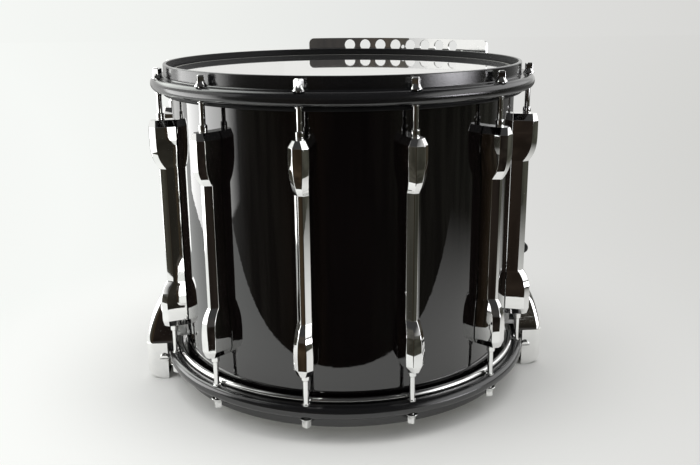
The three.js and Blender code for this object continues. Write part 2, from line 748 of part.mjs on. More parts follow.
// What is cut off a square corner at an end of the plate to round it.
function cornerWaste(endAngle, into, z, upwards) {
  const reach = PLATE_CORNER + CUT_MARGIN;
  const offset = (PLATE_CORNER - CUT_MARGIN) / 2;
  const square = new THREE.BoxGeometry(PLATE_CUT, reach, reach);
  square.translate(PLATE_R, into * offset, z - upwards * offset);
  const round = new THREE.CylinderGeometry(PLATE_CORNER, PLATE_CORNER, 2 * PLATE_CUT, 16);
  round.rotateZ(Math.PI / 2);
  round.translate(PLATE_R, into * PLATE_CORNER, z - upwards * PLATE_CORNER);
  square.rotateZ(endAngle);
  round.rotateZ(endAngle);
  return toSolid(square).subtract(toSolid(round));
}

function carrierPlate() {
  const from = clampAngle(CLAMP_LUGS[0]) - THREE.MathUtils.degToRad(PLATE_FIRST_DEG);
  const to = clampAngle(CLAMP_LUGS.at(-1)) + THREE.MathUtils.degToRad(PLATE_LAST_DEG);
  const shape = new THREE.Shape();
  shape.absarc(0, 0, PLATE_R + PLATE_WALL, from, to, false);
  shape.absarc(0, 0, PLATE_R, to, from, true);
  const bent = new THREE.ExtrudeGeometry(shape, {
    depth: PLATE_TOP_Z - PLATE_FOOT_Z,
    bevelEnabled: false,
    curveSegments: PLATE_SEGMENTS,
  });
  bent.translate(0, 0, PLATE_FOOT_Z);
  const middle = (from + to) / 2;
  const holeZ = PLATE_TOP_Z - HOLE_EDGE - HOLE_R;
  let solid = toSolid(bent);
  for (let i = 0; i < HOLE_COUNT; i += 1) {
    const step = (i - (HOLE_COUNT - 1) / 2) * THREE.MathUtils.degToRad(HOLE_PITCH_DEG);
    solid = solid.subtract(radialRod(HOLE_R, middle + step, holeZ));
  }
  solid = solid.subtract(radialRod(PIN_HOLE_R, middle, holeZ - PIN_HOLE_DROP, 8));
  for (const [end, into] of [[from, 1], [to, -1]]) {
    solid = solid
      .subtract(cornerWaste(end, into, PLATE_TOP_Z, 1))
      .subtract(cornerWaste(end, into, PLATE_FOOT_Z, -1));
  }
  return solid;
}

function carrierClamp() {
  const beadFar = hoopLedge + FIT_GAP + BEAD_REACH + BEAD_R;
  const high = batterEnd(beadFar) - CLAMP_HEADROOM;
  const outer = PLATE_R - 2 * FIT_GAP;
  const [boreLow, boreHigh] = [CLAMP_LOW_Z - CUT_MARGIN, high + CUT_MARGIN];
  return block(ROD_CIRCLE_R - CLAMP_DEPTH, outer, -CLAMP_HALF, CLAMP_HALF, CLAMP_LOW_Z, high)
    .subtract(uprightRod(ROD_R + ROD_CLEARANCE, ROD_CIRCLE_R, 0, boreLow, boreHigh));
}

// The drum

const drum = new THREE.Group();

function put(parent, name, geometry, material) {
  const mesh = new THREE.Mesh(geometry, material);
  mesh.name = name;
  parent.add(mesh);
  return mesh;
}

function add(parent, name, solid, material) {
  return put(parent, name, toGeometry(solid), material);
}

add(drum, 'shell', shell(), lacquer());
add(drum, 'batter_hoop', hoop(batterEnd), hoopBlack());
add(drum, 'snare_hoop', snareHoop(), hoopBlack());
add(drum, 'batter_head_film', endRing(filmOutline(), batterEnd), finish(0x101112, 0.07, 0));
add(drum, 'snare_head_film', endRing(filmOutline(), snareEnd), finish(0xdcdcd4, 0.3, 0));
add(drum, 'batter_flesh_hoop', endRing(fleshHoopOutline(), batterEnd), chrome());
add(drum, 'snare_flesh_hoop', endRing(fleshHoopOutline(), snareEnd), chrome());

const lugGeometry = toGeometry(lug());
const batterRodGeometry = toGeometry(tensionRod(batterShaft));
const snareRodGeometry = toGeometry(tensionRod(snareShaft));

for (let i = 0; i < LUG_COUNT; i += 1) {
  const angle = lugAngle(i);
  const number = i + 1;
  const [x, y] = around(angle, ROD_CIRCLE_R);
  const tube = put(drum, `lug_${number}`, lugGeometry.clone(), chrome());
  tube.position.set(0, 0, LUG_MIDDLE_Z);
  tube.rotation.z = angle - Math.PI / 2;
  const batterRod = put(drum, `batter_rod_${number}`, batterRodGeometry.clone(), chrome());
  batterRod.position.set(x, y, batterSeatZ);
  batterRod.rotation.z = angle;
  const snareRod = put(drum, `snare_rod_${number}`, snareRodGeometry.clone(), chrome());
  snareRod.position.set(x, y, snareSeatZ);
  snareRod.rotation.set(Math.PI, 0, angle);
}

const screwGeometry = toGeometry(coverScrew());

function gate(name, side) {
  const group = new THREE.Group();
  group.rotation.z = side > 0 ? 0 : Math.PI;
  drum.add(group);
  for (const end of [-1, 1]) {
    const number = end < 0 ? 1 : 2;
    const screw = put(group, `${name}_cover_screw_${number}`, screwGeometry.clone(), chrome());
    screw.position.set(SCREW_X, end * (COVER_HALF + FIT_GAP), SCREW_Z);
    screw.rotation.x = (-end * Math.PI) / 2;
  }
  return group;
}

const strainer = gate('strainer', 1);
add(strainer, 'strainer_base', strainerBase(), finish(0x8c8f92, 0.35, 1));
add(strainer, 'strainer_cover', strainerCover(), chrome());
add(strainer, 'strainer_carriage', snareHolder(), finish(0x9a9da0, 0.3, 1));

const leverGroup = new THREE.Group();
leverGroup.position.set(PIVOT_X, 0, PIVOT_Z);
leverGroup.rotation.y = leverLean;
strainer.add(leverGroup);
add(leverGroup, 'throw_lever', throwLever(), chrome());
add(leverGroup, 'lever_grip', leverGrip(), finish(0x101010, 0.5, 0));

const butt = gate('butt', -1);
add(butt, 'butt_base', gateBase(), finish(0x8c8f92, 0.35, 1));
add(butt, 'butt_cover', gateCover(), chrome());
add(butt, 'butt_clamp', snareHolder(), finish(0x9a9da0, 0.3, 1));
add(drum, 'snare_strands', snares(), finish(0xb8babc, 0.3, 1));

add(drum, 'carrier_plate', carrierPlate(), chrome());
CLAMP_LUGS.forEach((index, i) => {
  const clamp = add(drum, `carrier_clamp_${i + 1}`, carrierClamp(), chrome());
  clamp.rotation.z = clampAngle(index);
});

drum.updateMatrixWorld(true);
const bounds = new THREE.Box3().setFromObject(drum, true);
const centre = bounds.getCenter(new THREE.Vector3());
drum.position.set(-centre.x, -centre.y, -bounds.min.z);

export default drum;
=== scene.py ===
import math

import bmesh
import bpy
from mathutils import Matrix, Vector


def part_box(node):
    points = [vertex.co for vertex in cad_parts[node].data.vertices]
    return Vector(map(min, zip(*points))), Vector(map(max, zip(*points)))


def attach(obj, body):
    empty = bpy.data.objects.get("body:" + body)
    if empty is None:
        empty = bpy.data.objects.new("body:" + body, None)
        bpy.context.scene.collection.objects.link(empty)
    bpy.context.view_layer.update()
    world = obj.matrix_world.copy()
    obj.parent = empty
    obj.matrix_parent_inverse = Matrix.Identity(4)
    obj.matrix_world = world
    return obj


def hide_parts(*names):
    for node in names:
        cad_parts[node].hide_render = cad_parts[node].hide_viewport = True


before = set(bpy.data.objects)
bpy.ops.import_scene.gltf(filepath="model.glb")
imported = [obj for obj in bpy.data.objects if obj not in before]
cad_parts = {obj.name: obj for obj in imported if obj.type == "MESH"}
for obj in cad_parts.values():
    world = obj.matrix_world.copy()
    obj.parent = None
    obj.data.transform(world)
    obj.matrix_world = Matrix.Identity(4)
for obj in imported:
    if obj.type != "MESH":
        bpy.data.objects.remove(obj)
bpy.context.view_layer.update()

# The camera stands a little left of the drum's front and looks down on its rim. Its place, angles
# and lens were fitted to the rods and lugs in the photograph.
pan, tilt, roll = (math.radians(angle) for angle in (4.284, -15.712, -0.443))
camera_spot, lens_length, sensor_width = (-0.0609, -0.90465, 0.4022), 43.77, 36
ahead = Vector((math.sin(pan) * math.cos(tilt), math.cos(pan) * math.cos(tilt), math.sin(tilt)))
level = Vector((math.cos(pan), -math.sin(pan), 0))
above = level.cross(ahead)
right = math.cos(roll) * level + math.sin(roll) * above
up = -math.sin(roll) * level + math.cos(roll) * above
camera = bpy.data.objects.new("camera", bpy.data.cameras.new("camera"))
bpy.context.scene.collection.objects.link(camera)
camera.data.lens = lens_length
camera.data.sensor_width = sensor_width
camera.matrix_world = Matrix.Translation(camera_spot) @ Matrix((right, up, -ahead)).transposed().to_4x4()
bpy.context.scene.camera = camera
bpy.context.scene.view_settings.view_transform = "Standard"


# The stage: a pale table that runs on behind the drum as one sweep, and a dark room in front
# of it, which the chrome and the lacquer reflect. Three soft lamps light it from above.
def wire(tree, kind, inputs=None, **settings):
    """Adds a node, with its settings and what its sockets are given or linked to."""
    node = tree.nodes.new(kind)
    for key, value in settings.items():
        setattr(node, key, value)
    for socket, value in (inputs or {}).items():
        if isinstance(value, bpy.types.NodeSocket):
            tree.links.new(value, node.inputs[socket])
        else:
            node.inputs[socket].default_value = value
    return node


def bare_tree(owner):
    """The emptied node tree of a world or a material."""
    owner.use_nodes = True
    owner.node_tree.nodes.clear()
    return owner.node_tree


def sums(tree, operation, *values, clamp=False):
    """The result of a sum on numbers or sockets."""
    inputs = dict(enumerate(values))
    return wire(tree, "ShaderNodeMath", inputs, operation=operation, use_clamp=clamp).outputs[0]


def product(tree, first, *others):
    """The product of two or more numbers or sockets."""
    for other in others:
        first = sums(tree, "MULTIPLY", first, other)
    return first


def vectors(tree, operation, *values, result="Vector"):
    """The result of a sum on vectors."""
    return wire(tree, "ShaderNodeVectorMath", dict(enumerate(values)), operation=operation).outputs[result]


def split(tree, kind):
    """The X, Y and Z of one kind of texture coordinate."""
    return wire(tree, "ShaderNodeSeparateXYZ", {0: wire(tree, "ShaderNodeTexCoord").outputs[kind]}).outputs


def noise(tree, place, scale, detail, **others):
    """A noise texture's value at a place."""
    inputs = {"Vector": place, "Scale": scale, "Detail": detail, **others}
    return wire(tree, "ShaderNodeTexNoise", inputs).outputs["Fac"]


def eased(tree, value, low, high, to_low=0.0, to_high=1.0):
    """A value carried smoothly from one range to another."""
    ranges = {"Value": value, "From Min": low, "From Max": high, "To Min": to_low, "To Max": to_high}
    node = wire(tree, "ShaderNodeMapRange", ranges, interpolation_type="SMOOTHSTEP")
    return node.outputs["Result"]


def blended(tree, factor, first, second, kind="MIX"):
    """Two colours mixed by a factor."""
    inputs = {"Factor": factor, 6: first, 7: second}
    return wire(tree, "ShaderNodeMix", inputs, data_type="RGBA", blend_type=kind).outputs[2]


def mixed(tree, factor, first, second):
    """Two shaders mixed by a factor."""
    return wire(tree, "ShaderNodeMixShader", {0: factor, 1: first, 2: second}).outputs[0]


def ramp(tree, value, *stops):
    """A colour picked along a ramp from (place, colour) stops."""
    node = wire(tree, "ShaderNodeValToRGB", {"Fac": value})
    elements = node.color_ramp.elements
    while len(elements) < len(stops):
        elements.new(1.0)
    for element, (place, colour) in zip(elements, stops):
        element.position = place
        element.color = (*colour, 1)
    return node.outputs["Color"]


def sweep_colour(tree, across):
    """The pale sweep's glow, with painted light: brighter on its left, darker towards the right."""
    side = sums(tree, "MULTIPLY_ADD", across, 0.5, 0.5)
    return ramp(tree, side, (0.0, (0.90, 0.90, 0.89)), (0.32, (0.93, 0.95, 0.925)),
                (0.46, (0.86, 0.875, 0.85)), (0.55, (0.79, 0.80, 0.785)),
                (0.66, (0.72, 0.72, 0.705)), (0.8, (0.65, 0.65, 0.63)))


world = bpy.data.worlds.new("studio")
bpy.context.scene.world = world
tree = bare_tree(world)
rays = wire(tree, "ShaderNodeLightPath").outputs
heading_x, heading_y, heading_z = split(tree, "Generated")
turn = sums(tree, "ARCTAN2", heading_x, product(tree, heading_y, -1.0))
# From 0 at the back, over 0.25 at the left and 0.5 at the front, to 0.75 at the right.
around = sums(tree, "MULTIPLY_ADD", turn, 0.5 / math.pi, 0.5)
room = ramp(tree, around, (0.0, (0.80, 0.80, 0.78)), (0.06, (0.84, 0.84, 0.82)), (0.12, (1.15, 1.15, 1.13)),
            (0.2, (1.1, 1.1, 1.08)), (0.26, (0.30, 0.30, 0.29)),
            (0.31, (0.060, 0.058, 0.048)), (0.36, (0.045, 0.042, 0.032)), (0.42, (0.036, 0.025, 0.015)),
            (0.47, (0.016, 0.012, 0.010)), (0.53, (0.014, 0.011, 0.009)), (0.60, (0.042, 0.041, 0.032)),
            (0.72, (0.054, 0.054, 0.043)), (0.80, (0.08, 0.08, 0.066)), (0.86, (0.34, 0.34, 0.33)),
            (0.92, (0.95, 0.95, 0.93)), (0.97, (0.82, 0.82, 0.80)))
clutter_place = wire(tree, "ShaderNodeCombineXYZ", {"X": product(tree, around, 70.0),
                     "Y": product(tree, heading_z, 5.0)}).outputs[0]
clutter = eased(tree, noise(tree, clutter_place, 1.0, 2.0), 0.35, 0.65, 0.6, 1.25)
front = product(tree, eased(tree, around, 0.27, 0.31), eased(tree, around, 0.84, 0.78))
streaked = wire(tree, "ShaderNodeVectorMath", {0: room, "Scale": clutter}, operation="SCALE").outputs[0]
room = blended(tree, front, room, streaked)
raised = product(tree, front, eased(tree, heading_z, -0.05, 0.0, 0.0, 0.035))
raised = wire(tree, "ShaderNodeCombineXYZ", {0: raised, 1: raised, 2: raised}).outputs[0]
room = blended(tree, 1.0, room, raised, kind="ADD")
behind = product(tree, eased(tree, heading_y, 0.3, 0.6), eased(tree, heading_z, -0.04, -0.12),
                 eased(tree, heading_x, -0.5, -0.2))
room = blended(tree, behind, room, (0.16, 0.16, 0.155, 1))
# The bright parts are not seen off a matt surface, so that they throw no bright spots there.
first_sight = sums(tree, "SUBTRACT", 1.0, rays["Diffuse Depth"], clamp=True)
ceiling = ramp(tree, eased(tree, heading_y, 0.25, 0.72), (0.0, (0.04, 0.04, 0.04)),
               (0.3, (0.10, 0.10, 0.10)), (1.0, (0.85, 0.85, 0.85)))
left_sky = product(tree, eased(tree, heading_x, -0.15, -0.45), eased(tree, heading_y, 0.0, 0.4), first_sight)
ceiling = blended(tree, left_sky, ceiling, (3.4, 3.5, 3.35, 1))
seen_room = blended(tree, eased(tree, heading_z, 0.2, 0.36), room, ceiling)
right_sky = product(tree, eased(tree, heading_x, 0.55, 0.75), eased(tree, heading_z, 0.06, 0.14), first_sight)
seen_room = blended(tree, right_sky, seen_room, (1.5, 1.5, 1.5, 1))
window = product(tree, eased(tree, around, 0.61, 0.685), eased(tree, around, 0.75, 0.685),
                 eased(tree, heading_z, -0.118, -0.09), eased(tree, heading_z, 0.06, 0.0), first_sight)
seen_room = blended(tree, window, seen_room, (8.5, 8.4, 8.8, 1))
unseen = blended(tree, rays["Is Glossy Ray"], (0.50, 0.50, 0.495, 1), seen_room)
# The camera sees the sweep's glow, with its painted left-to-right falloff.
shown = blended(tree, rays["Is Camera Ray"], unseen, sweep_colour(tree, heading_x))
background = wire(tree, "ShaderNodeBackground", {"Color": shown, "Strength": 1.0})
wire(tree, "ShaderNodeOutputWorld", {"Surface": background.outputs[0]})

# The table is matt near the drum and turns into a glow further off; both carry painted light, pale
# on the left and darker towards the right. Mirrored, it ends at a front edge, so the lacquer shows
# the dark room beyond. Under the drum it sends up a little light that the camera doesn't see, and from below
# it is clear.
table = bpy.data.materials.new("pale_table")
tree = bare_tree(table)
rays = wire(tree, "ShaderNodeLightPath").outputs
place_x, place_y = split(tree, "Object")[:2]
far_off = vectors(tree, "LENGTH", wire(tree, "ShaderNodeTexCoord").outputs["Object"], result="Value")
edge = sums(tree, "MULTIPLY_ADD", place_x, 0.112, place_y)
on_table = product(tree, eased(tree, edge, -0.337, -0.333), eased(tree, place_x, 0.95, 0.3),
                   eased(tree, place_y, 0.95, 0.6))
# Painted shade: the matt colour goes from pale on the left to darker on the right, standing in for light that
# falls off.
painted_shade_falloff = blended(tree, eased(tree, place_x, -0.45, 0.45), (0.96, 0.965, 0.945, 1), (0.70, 0.70, 0.685, 1))
matt = wire(tree, "ShaderNodeBsdfDiffuse", {"Color": painted_shade_falloff}).outputs[0]
spread = sums(tree, "SQRT", sums(tree, "MULTIPLY_ADD", far_off, far_off, 1.0))
glow = wire(tree, "ShaderNodeEmission", {"Color": sweep_colour(tree, sums(tree, "DIVIDE", place_x, spread)),
            "Strength": eased(tree, place_y, -0.2, -0.5, 1.0, 0.9)}).outputs[0]
open_floor = wire(tree, "ShaderNodeBsdfTransparent").outputs[0]
camera_or_gloss = sums(tree, "MAXIMUM", rays["Is Camera Ray"], rays["Is Glossy Ray"])
swept = mixed(tree, product(tree, eased(tree, far_off, 0.20, 0.52), camera_or_gloss), matt, glow)
off_table = product(tree, rays["Is Glossy Ray"], sums(tree, "SUBTRACT", 1.0, on_table))
swept = mixed(tree, off_table, swept, open_floor)
bounce = wire(tree, "ShaderNodeEmission", {"Color": (0.5, 0.5, 0.49, 1)}).outputs[0]
off_camera = sums(tree, "SUBTRACT", 1.0, rays["Is Camera Ray"])
swept = mixed(tree, product(tree, eased(tree, far_off, 0.16, 0.13), off_camera), swept, bounce)
from_below = wire(tree, "ShaderNodeNewGeometry").outputs["Backfacing"]
wire(tree, "ShaderNodeOutputMaterial", {"Surface": mixed(tree, from_below, swept, open_floor)})

bpy.ops.mesh.primitive_plane_add(size=14, location=(0, 0, -0.0002))
floor = bpy.context.object
floor.name = "floor"
floor.data.materials.append(table)

# A low soft box stands on the table at the left, out of the picture. Only shiny surfaces show it.
# High up, a dimmer wing carries it on towards the front.
box_glow = bpy.data.materials.new("soft_box")
tree = bare_tree(box_glow)
box_low, box_high, wing = 0.02, 0.60, 0.11
place_x, place_y = split(tree, "Object")[:2]
along = sums(tree, "MULTIPLY_ADD", place_x, 1 + wing, 0.5 - wing / 2)
height = sums(tree, "MULTIPLY_ADD", place_y, box_high - box_low, (box_high + box_low) / 2)
foot = sums(tree, "SUBTRACT", 0.125, product(tree, along, 0.36))
cloth = ramp(tree, along, (0.0, (0.05, 0.05, 0.05)), (0.04, (0.30, 0.30, 0.295)), (0.10, (0.68, 0.68, 0.67)),
             (0.17, (0.84, 0.84, 0.83)), (0.4, (1.0, 1.0, 0.99)))
bounces = wire(tree, "ShaderNodeLightPath").outputs["Diffuse Depth"]
first_sight = sums(tree, "SUBTRACT", 1.0, bounces, clamp=True)
upper = eased(tree, height, 0.325, 0.335)
cloth = blended(tree, upper, cloth, ramp(tree, sums(tree, "ADD", along, wing), (0.0, (0.15, 0.15, 0.15)),
                (0.02, (0.17, 0.17, 0.17)), (0.14, (0.19, 0.19, 0.187)), (0.2, (0.235, 0.235, 0.23))))
strength = product(tree, first_sight, 4.0)
lit = wire(tree, "ShaderNodeEmission", {"Color": cloth, "Strength": strength}).outputs[0]
solid = eased(tree, sums(tree, "SUBTRACT", height, foot), 0.0, 0.012)
solid = product(tree, solid, sums(tree, "MAXIMUM", upper, eased(tree, along, 0.0, 0.001)))
clear = wire(tree, "ShaderNodeBsdfTransparent").outputs[0]
wire(tree, "ShaderNodeOutputMaterial", {"Surface": mixed(tree, solid, clear, lit)})
near_end, far_end = Vector((-0.476, -0.249, 0)), Vector((-0.876, 0.44, 0))
near_end += (near_end - far_end) * wing
run = far_end - near_end
box_middle = (near_end + far_end) / 2 + Vector((0, 0, (box_low + box_high) / 2))
turns = (math.pi / 2, 0, math.atan2(run.y, run.x))
bpy.ops.mesh.primitive_plane_add(size=1, location=box_middle, rotation=turns)
soft_box = bpy.context.object
soft_box.name = "soft_box"
soft_box.scale = (run.length, box_high - box_low, 1)
soft_box.data.materials.append(box_glow)
soft_box.visible_camera = soft_box.visible_diffuse = soft_box.visible_shadow = False

lamp_aim = Vector((0, 0, 0.15))
for name, spot, size, power in (("lamp_left", (-1.3, -0.5, 1.5), 1.4, 12),
                                ("lamp_right", (1.2, -0.3, 1.6), 1.2, 8),
                                ("lamp_top", (0.0, 0.15, 1.9), 1.6, 16)):
    lamp = bpy.data.objects.new(name, bpy.data.lights.new(name, "AREA"))
    bpy.context.scene.collection.objects.link(lamp)
    lamp.data.size = size
    lamp.data.energy = power
    lamp.location = spot
    lamp.rotation_euler = (lamp_aim - Vector(spot)).to_track_quat("-Z", "Y").to_euler()
    lamp.visible_glossy = False


# The shell: a tube of laminated maple, 14 inches across, with a bearing edge cut at 45 degrees
# at both ends. Its outside is sprayed with gloss black lacquer and polished.
mm = 0.001
low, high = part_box("shell")
axis = Vector(((low[0] + high[0]) / 2, (low[1] + high[1]) / 2, 0))


def arc(middle, height, radius, start, end, steps):
    """Points on an arc of an outline, from one angle to another in degrees."""
    angles = [math.radians(start + (end - start) * i / steps) for i in range(steps + 1)]
    return [(middle + radius * math.cos(a), height + radius * math.sin(a)) for a in angles]


def select_only(piece):
    """Makes one piece the selected and the active one."""
    bpy.ops.object.select_all(action="DESELECT")
    piece.select_set(True)
    bpy.context.view_layer.objects.active = piece


def switch(mode):
    """Takes the active piece into edit or object mode."""
    bpy.ops.object.mode_set(mode=mode)


def edit_all():
    """Opens the active piece for editing, with all of it selected."""
    switch("EDIT")
    bpy.ops.mesh.select_all(action="SELECT")


def merge_close(distance):
    """Merges the points of the piece in edit mode that are no further apart than a distance."""
    bpy.ops.mesh.select_all(action="SELECT")
    bpy.ops.mesh.remove_doubles(threshold=distance)


def close_edit():
    """Turns all faces outwards and ends the editing."""
    bpy.ops.mesh.select_all(action="SELECT")
    bpy.ops.mesh.normals_make_consistent(inside=False)
    switch("OBJECT")


def changed(piece, kind, **settings):
    """Gives a piece a modifier and applies it."""
    select_only(piece)
    modifier = piece.modifiers.new(kind.lower(), kind)
    for key, value in settings.items():
        setattr(modifier, key, value)
    bpy.ops.object.modifier_apply(modifier=modifier.name)


def shaded(piece, smooth):
    """Shades a piece smooth up to an angle, with its wide flats kept flat beside their eased edges."""
    select_only(piece)
    bpy.ops.object.shade_smooth_by_angle(angle=math.radians(smooth))
    changed(piece, "WEIGHTED_NORMAL", keep_sharp=True)


def turned(name, outline, steps=240, smooth=32):
    """A ring or disc: one point is extruded along the outline and the line is spun round the axis."""
    bpy.ops.mesh.primitive_plane_add(size=mm, location=(0, 0, 0))
    piece = bpy.context.object
    piece.name = piece.data.name = name
    edit_all()
    bpy.ops.mesh.merge(type="CENTER")
    bpy.ops.transform.translate(value=(axis.x + outline[0][0] * mm, axis.y, outline[0][1] * mm))
    for (r, z), (next_r, next_z) in zip(outline, outline[1:]):
        step = ((next_r - r) * mm, 0, (next_z - z) * mm)
        bpy.ops.mesh.extrude_region_move(TRANSFORM_OT_translate={"value": step})
    merge_close(1e-6)
    bpy.ops.mesh.spin(steps=steps, angle=2 * math.pi, center=axis, axis=(0, 0, 1))
    merge_close(1e-5)
    close_edit()
    shaded(piece, smooth)
    return piece


def fit(piece, material, body, slot, *nodes):
    """Gives a finished piece its material, the nodes that it stands for and its body; its slot is not used.
    """
    piece.data.materials.clear()
    piece.data.materials.append(material)
    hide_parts(*nodes)
    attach(piece, body)


def new_group(name, inputs, outputs):
    """A shader node group with named number inputs and outputs."""
    group = bpy.data.node_groups.new(name, "ShaderNodeTree")
    add = group.interface.new_socket
    for socket, value in inputs:
        add(socket, in_out="INPUT", socket_type="NodeSocketFloat").default_value = value
    for socket in outputs:
        add(socket, in_out="OUTPUT", socket_type="NodeSocketFloat")
    return group, group.nodes.new("NodeGroupInput"), group.nodes.new("NodeGroupOutput")


def object_place(tree, scale=(1, 1, 1), turn=(0, 0, 0)):
    """Object coordinates through a mapping."""
    coords = wire(tree, "ShaderNodeTexCoord").outputs["Object"]
    return wire(tree, "ShaderNodeMapping", {"Vector": coords, "Scale": scale, "Rotation": turn}).outputs[0]


# Cloth marks left by polishing: long fine hairlines that cross each other at random.
hairlines, start, end = new_group("hairlines", [("Fineness", 900.0), ("Amount", 0.5)], ["Mask", "Height"])
masks = []
for turn, stretch in (((0.4, 0.2, 0.7), (1, 0.035, 1)), ((1.1, -0.5, 2.1), (0.04, 1, 1)),
                      ((-0.6, 0.9, -0.8), (1, 1, 0.03))):
    drawn_out = object_place(hairlines, stretch, turn)
    scratch = noise(hairlines, drawn_out, start.outputs["Fineness"], 2.0, Roughness=0.6)
    masks.append(eased(hairlines, scratch, 0.64, 0.72))
lines = sums(hairlines, "MAXIMUM", sums(hairlines, "MAXIMUM", masks[0], masks[1]), masks[2])
lines = product(hairlines, lines, start.outputs["Amount"])
hairlines.links.new(lines, end.inputs["Mask"])
hairlines.links.new(product(hairlines, lines, -1.0), end.inputs["Height"])

# Faint cloudy patches where hands and cloths have been.
smears, start, end = new_group("smears", [("Size", 14.0), ("Amount", 0.5)], ["Mask"])
cloud = noise(smears, object_place(smears), start.outputs["Size"], 5.0, Roughness=0.62, Distortion=0.8)
mask = product(smears, eased(smears, cloud, 0.45, 0.72), start.outputs["Amount"])
smears.links.new(mask, end.inputs["Mask"])

# A little settled dust: sparse specks that are thicker on what faces up.
dust, start, end = new_group("dust", [("Speck", 900.0), ("Amount", 0.5)], ["Mask"])
cells = wire(dust, "ShaderNodeTexVoronoi", {"Vector": object_place(dust), "Scale": start.outputs["Speck"],
             "Randomness": 1.0}).outputs["Distance"]
patch = noise(dust, object_place(dust), 60.0, 3.0)
upward = eased(dust, split(dust, "Normal")["Z"], -0.2, 0.9, 0.12, 1.0)
mask = product(dust, eased(dust, cells, 0.16, 0.06), eased(dust, patch, 0.45, 0.7), upward,
               start.outputs["Amount"])
dust.links.new(mask, end.inputs["Mask"])

# The slow swell of a sprayed coat.
spray_peel, start, end = new_group("spray_peel", [("Fineness", 260.0), ("Depth", 1.0)], ["Height"])
swell = noise(spray_peel, object_place(spray_peel), start.outputs["Fineness"], 1.5, Roughness=0.4)
spray_peel.links.new(product(spray_peel, swell, start.outputs["Depth"]), end.inputs["Height"])


def use(tree, group, **values):
    """Places a node group with its own values; returns its output, or all of them if it has more."""
    outputs = wire(tree, "ShaderNodeGroup", values, node_tree=group).outputs
    return outputs[0] if len(outputs) == 1 else tuple(outputs)


def new_material(name, **values):
    """A material with one Principled shader; returns it, its tree and the shader."""
    material = bpy.data.materials.new(name)
    tree = bare_tree(material)
    inputs = {key.replace("_", " "): value for key, value in values.items()}
    shader = wire(tree, "ShaderNodeBsdfPrincipled", inputs)
    wire(tree, "ShaderNodeOutputMaterial", {"Surface": shader.outputs[0]})
    return material, tree, shader


def coloured(tree, shader, factor, first, second):
    """Feeds two colours, mixed by a factor, into the shader's base colour."""
    tree.links.new(blended(tree, factor, first, second), shader.inputs["Base Color"])


def roughened(tree, shader, base, *marks):
    """Feeds a roughness into the shader: a base and what each (mask, amount) pair adds to it."""
    for mask, amount in marks:
        base = sums(tree, "MULTIPLY_ADD", mask, amount, base)
    tree.links.new(base, shader.inputs["Roughness"])


def bump(tree, shader, height, strength, distance):
    """Feeds a height into the shader's normal."""
    node = wire(tree, "ShaderNodeBump", {"Height": height, "Strength": strength, "Distance": distance})
    tree.links.new(node.outputs[0], shader.inputs["Normal"])


lacquer, tree, shader = new_material("gloss_black_lacquer", IOR=1.6, Coat_Weight=0.9, Coat_Roughness=0.012)
fine = use(tree, hairlines, Fineness=700.0, Amount=0.35)[0]
cloudy = use(tree, smears, Size=9.0, Amount=0.5)
specks = use(tree, dust, Speck=700.0, Amount=0.55)
coloured(tree, shader, specks, (0.0022, 0.0016, 0.0019, 1), (0.10, 0.10, 0.098, 1))
roughened(tree, shader, 0.018, (cloudy, 0.03), (sums(tree, "ADD", fine, product(tree, specks, 2.0)), 0.09))
bump(tree, shader, use(tree, spray_peel, Fineness=230.0, Depth=1.0), 0.06, 0.0004)

bottom, top = low[2] / mm, high[2] / mm
outside, edge_crest, bore, rounding = 175.0, 174.2, 170.5, 1.5
shell_outline = [(bore, bottom + 4.5), (edge_crest, bottom + 0.8),
                 *arc(outside, bottom + rounding, rounding, -115, 0, 6),
                 *arc(outside, top - rounding, rounding, 0, 115, 6),
                 (edge_crest, top - 0.8), (bore, top - 4.5), (bore, bottom + 4.5)]
fit(turned("shell_tube", shell_outline, steps=288), lacquer, "drum", "shell", "shell")


# The two counter hoops: rolled aluminium bands with a half-round flange that the rods pull on,
# painted satin black. The lower one has a gate in its band on each side for the snares.
batter_face = 329.0
snare_face = 18.6


def from_top(outline):
    """An outline's depths below the upper head, as heights."""
    return [(r, batter_face - depth) for r, depth in outline]


def from_bottom(outline):
    """The same outline for the lower head, the other way up."""
    return [(r, snare_face + depth) for r, depth in outline]


hoop_outline = [*arc(180.2, -6.2, 0.8, 180, 270, 4), *arc(182.4, -6.2, 0.8, 270, 360, 4), (183.2, 4.7),
                (183.8, 5.3), *arc(190.5, 11.3, 6.0, -90, 0, 9), *arc(190.5, 12.1, 6.0, 0, 90, 9),
                *arc(186.7, 17.5, 0.6, 90, 180, 3), (186.1, 16.95), (183.0, 16.95), (183.0, 5.9),
                (179.4, 5.9), (179.4, -6.2)]


def cut_away(piece, cutters):
    """Cuts other solids out of a piece and removes them."""
    for cutter in cutters:
        changed(piece, "BOOLEAN", object=cutter, solver="EXACT")
        bpy.data.objects.remove(cutter)


def apply_place():
    """Moves the place, turn and scale of the selected piece into its mesh."""
    bpy.ops.object.transform_apply()


def block(x_from, x_to, y_from, y_to, z_from, z_to):
    """A box between two corners in mm, as a start or as a cutter."""
    middle = Vector((x_from + x_to, y_from + y_to, z_from + z_to)) / 2 * mm
    bpy.ops.mesh.primitive_cube_add(size=1, location=middle + axis)
    piece = bpy.context.object
    piece.scale = ((x_to - x_from) * mm, (y_to - y_from) * mm, (z_to - z_from) * mm)
    apply_place()
    return piece


def off_axis(tree):
    """How far a point is from the drum's axis, as a level vector."""
    coords = wire(tree, "ShaderNodeTexCoord").outputs["Object"]
    return vectors(tree, "MULTIPLY", vectors(tree, "SUBTRACT", coords, tuple(axis)), (1, 1, 0))


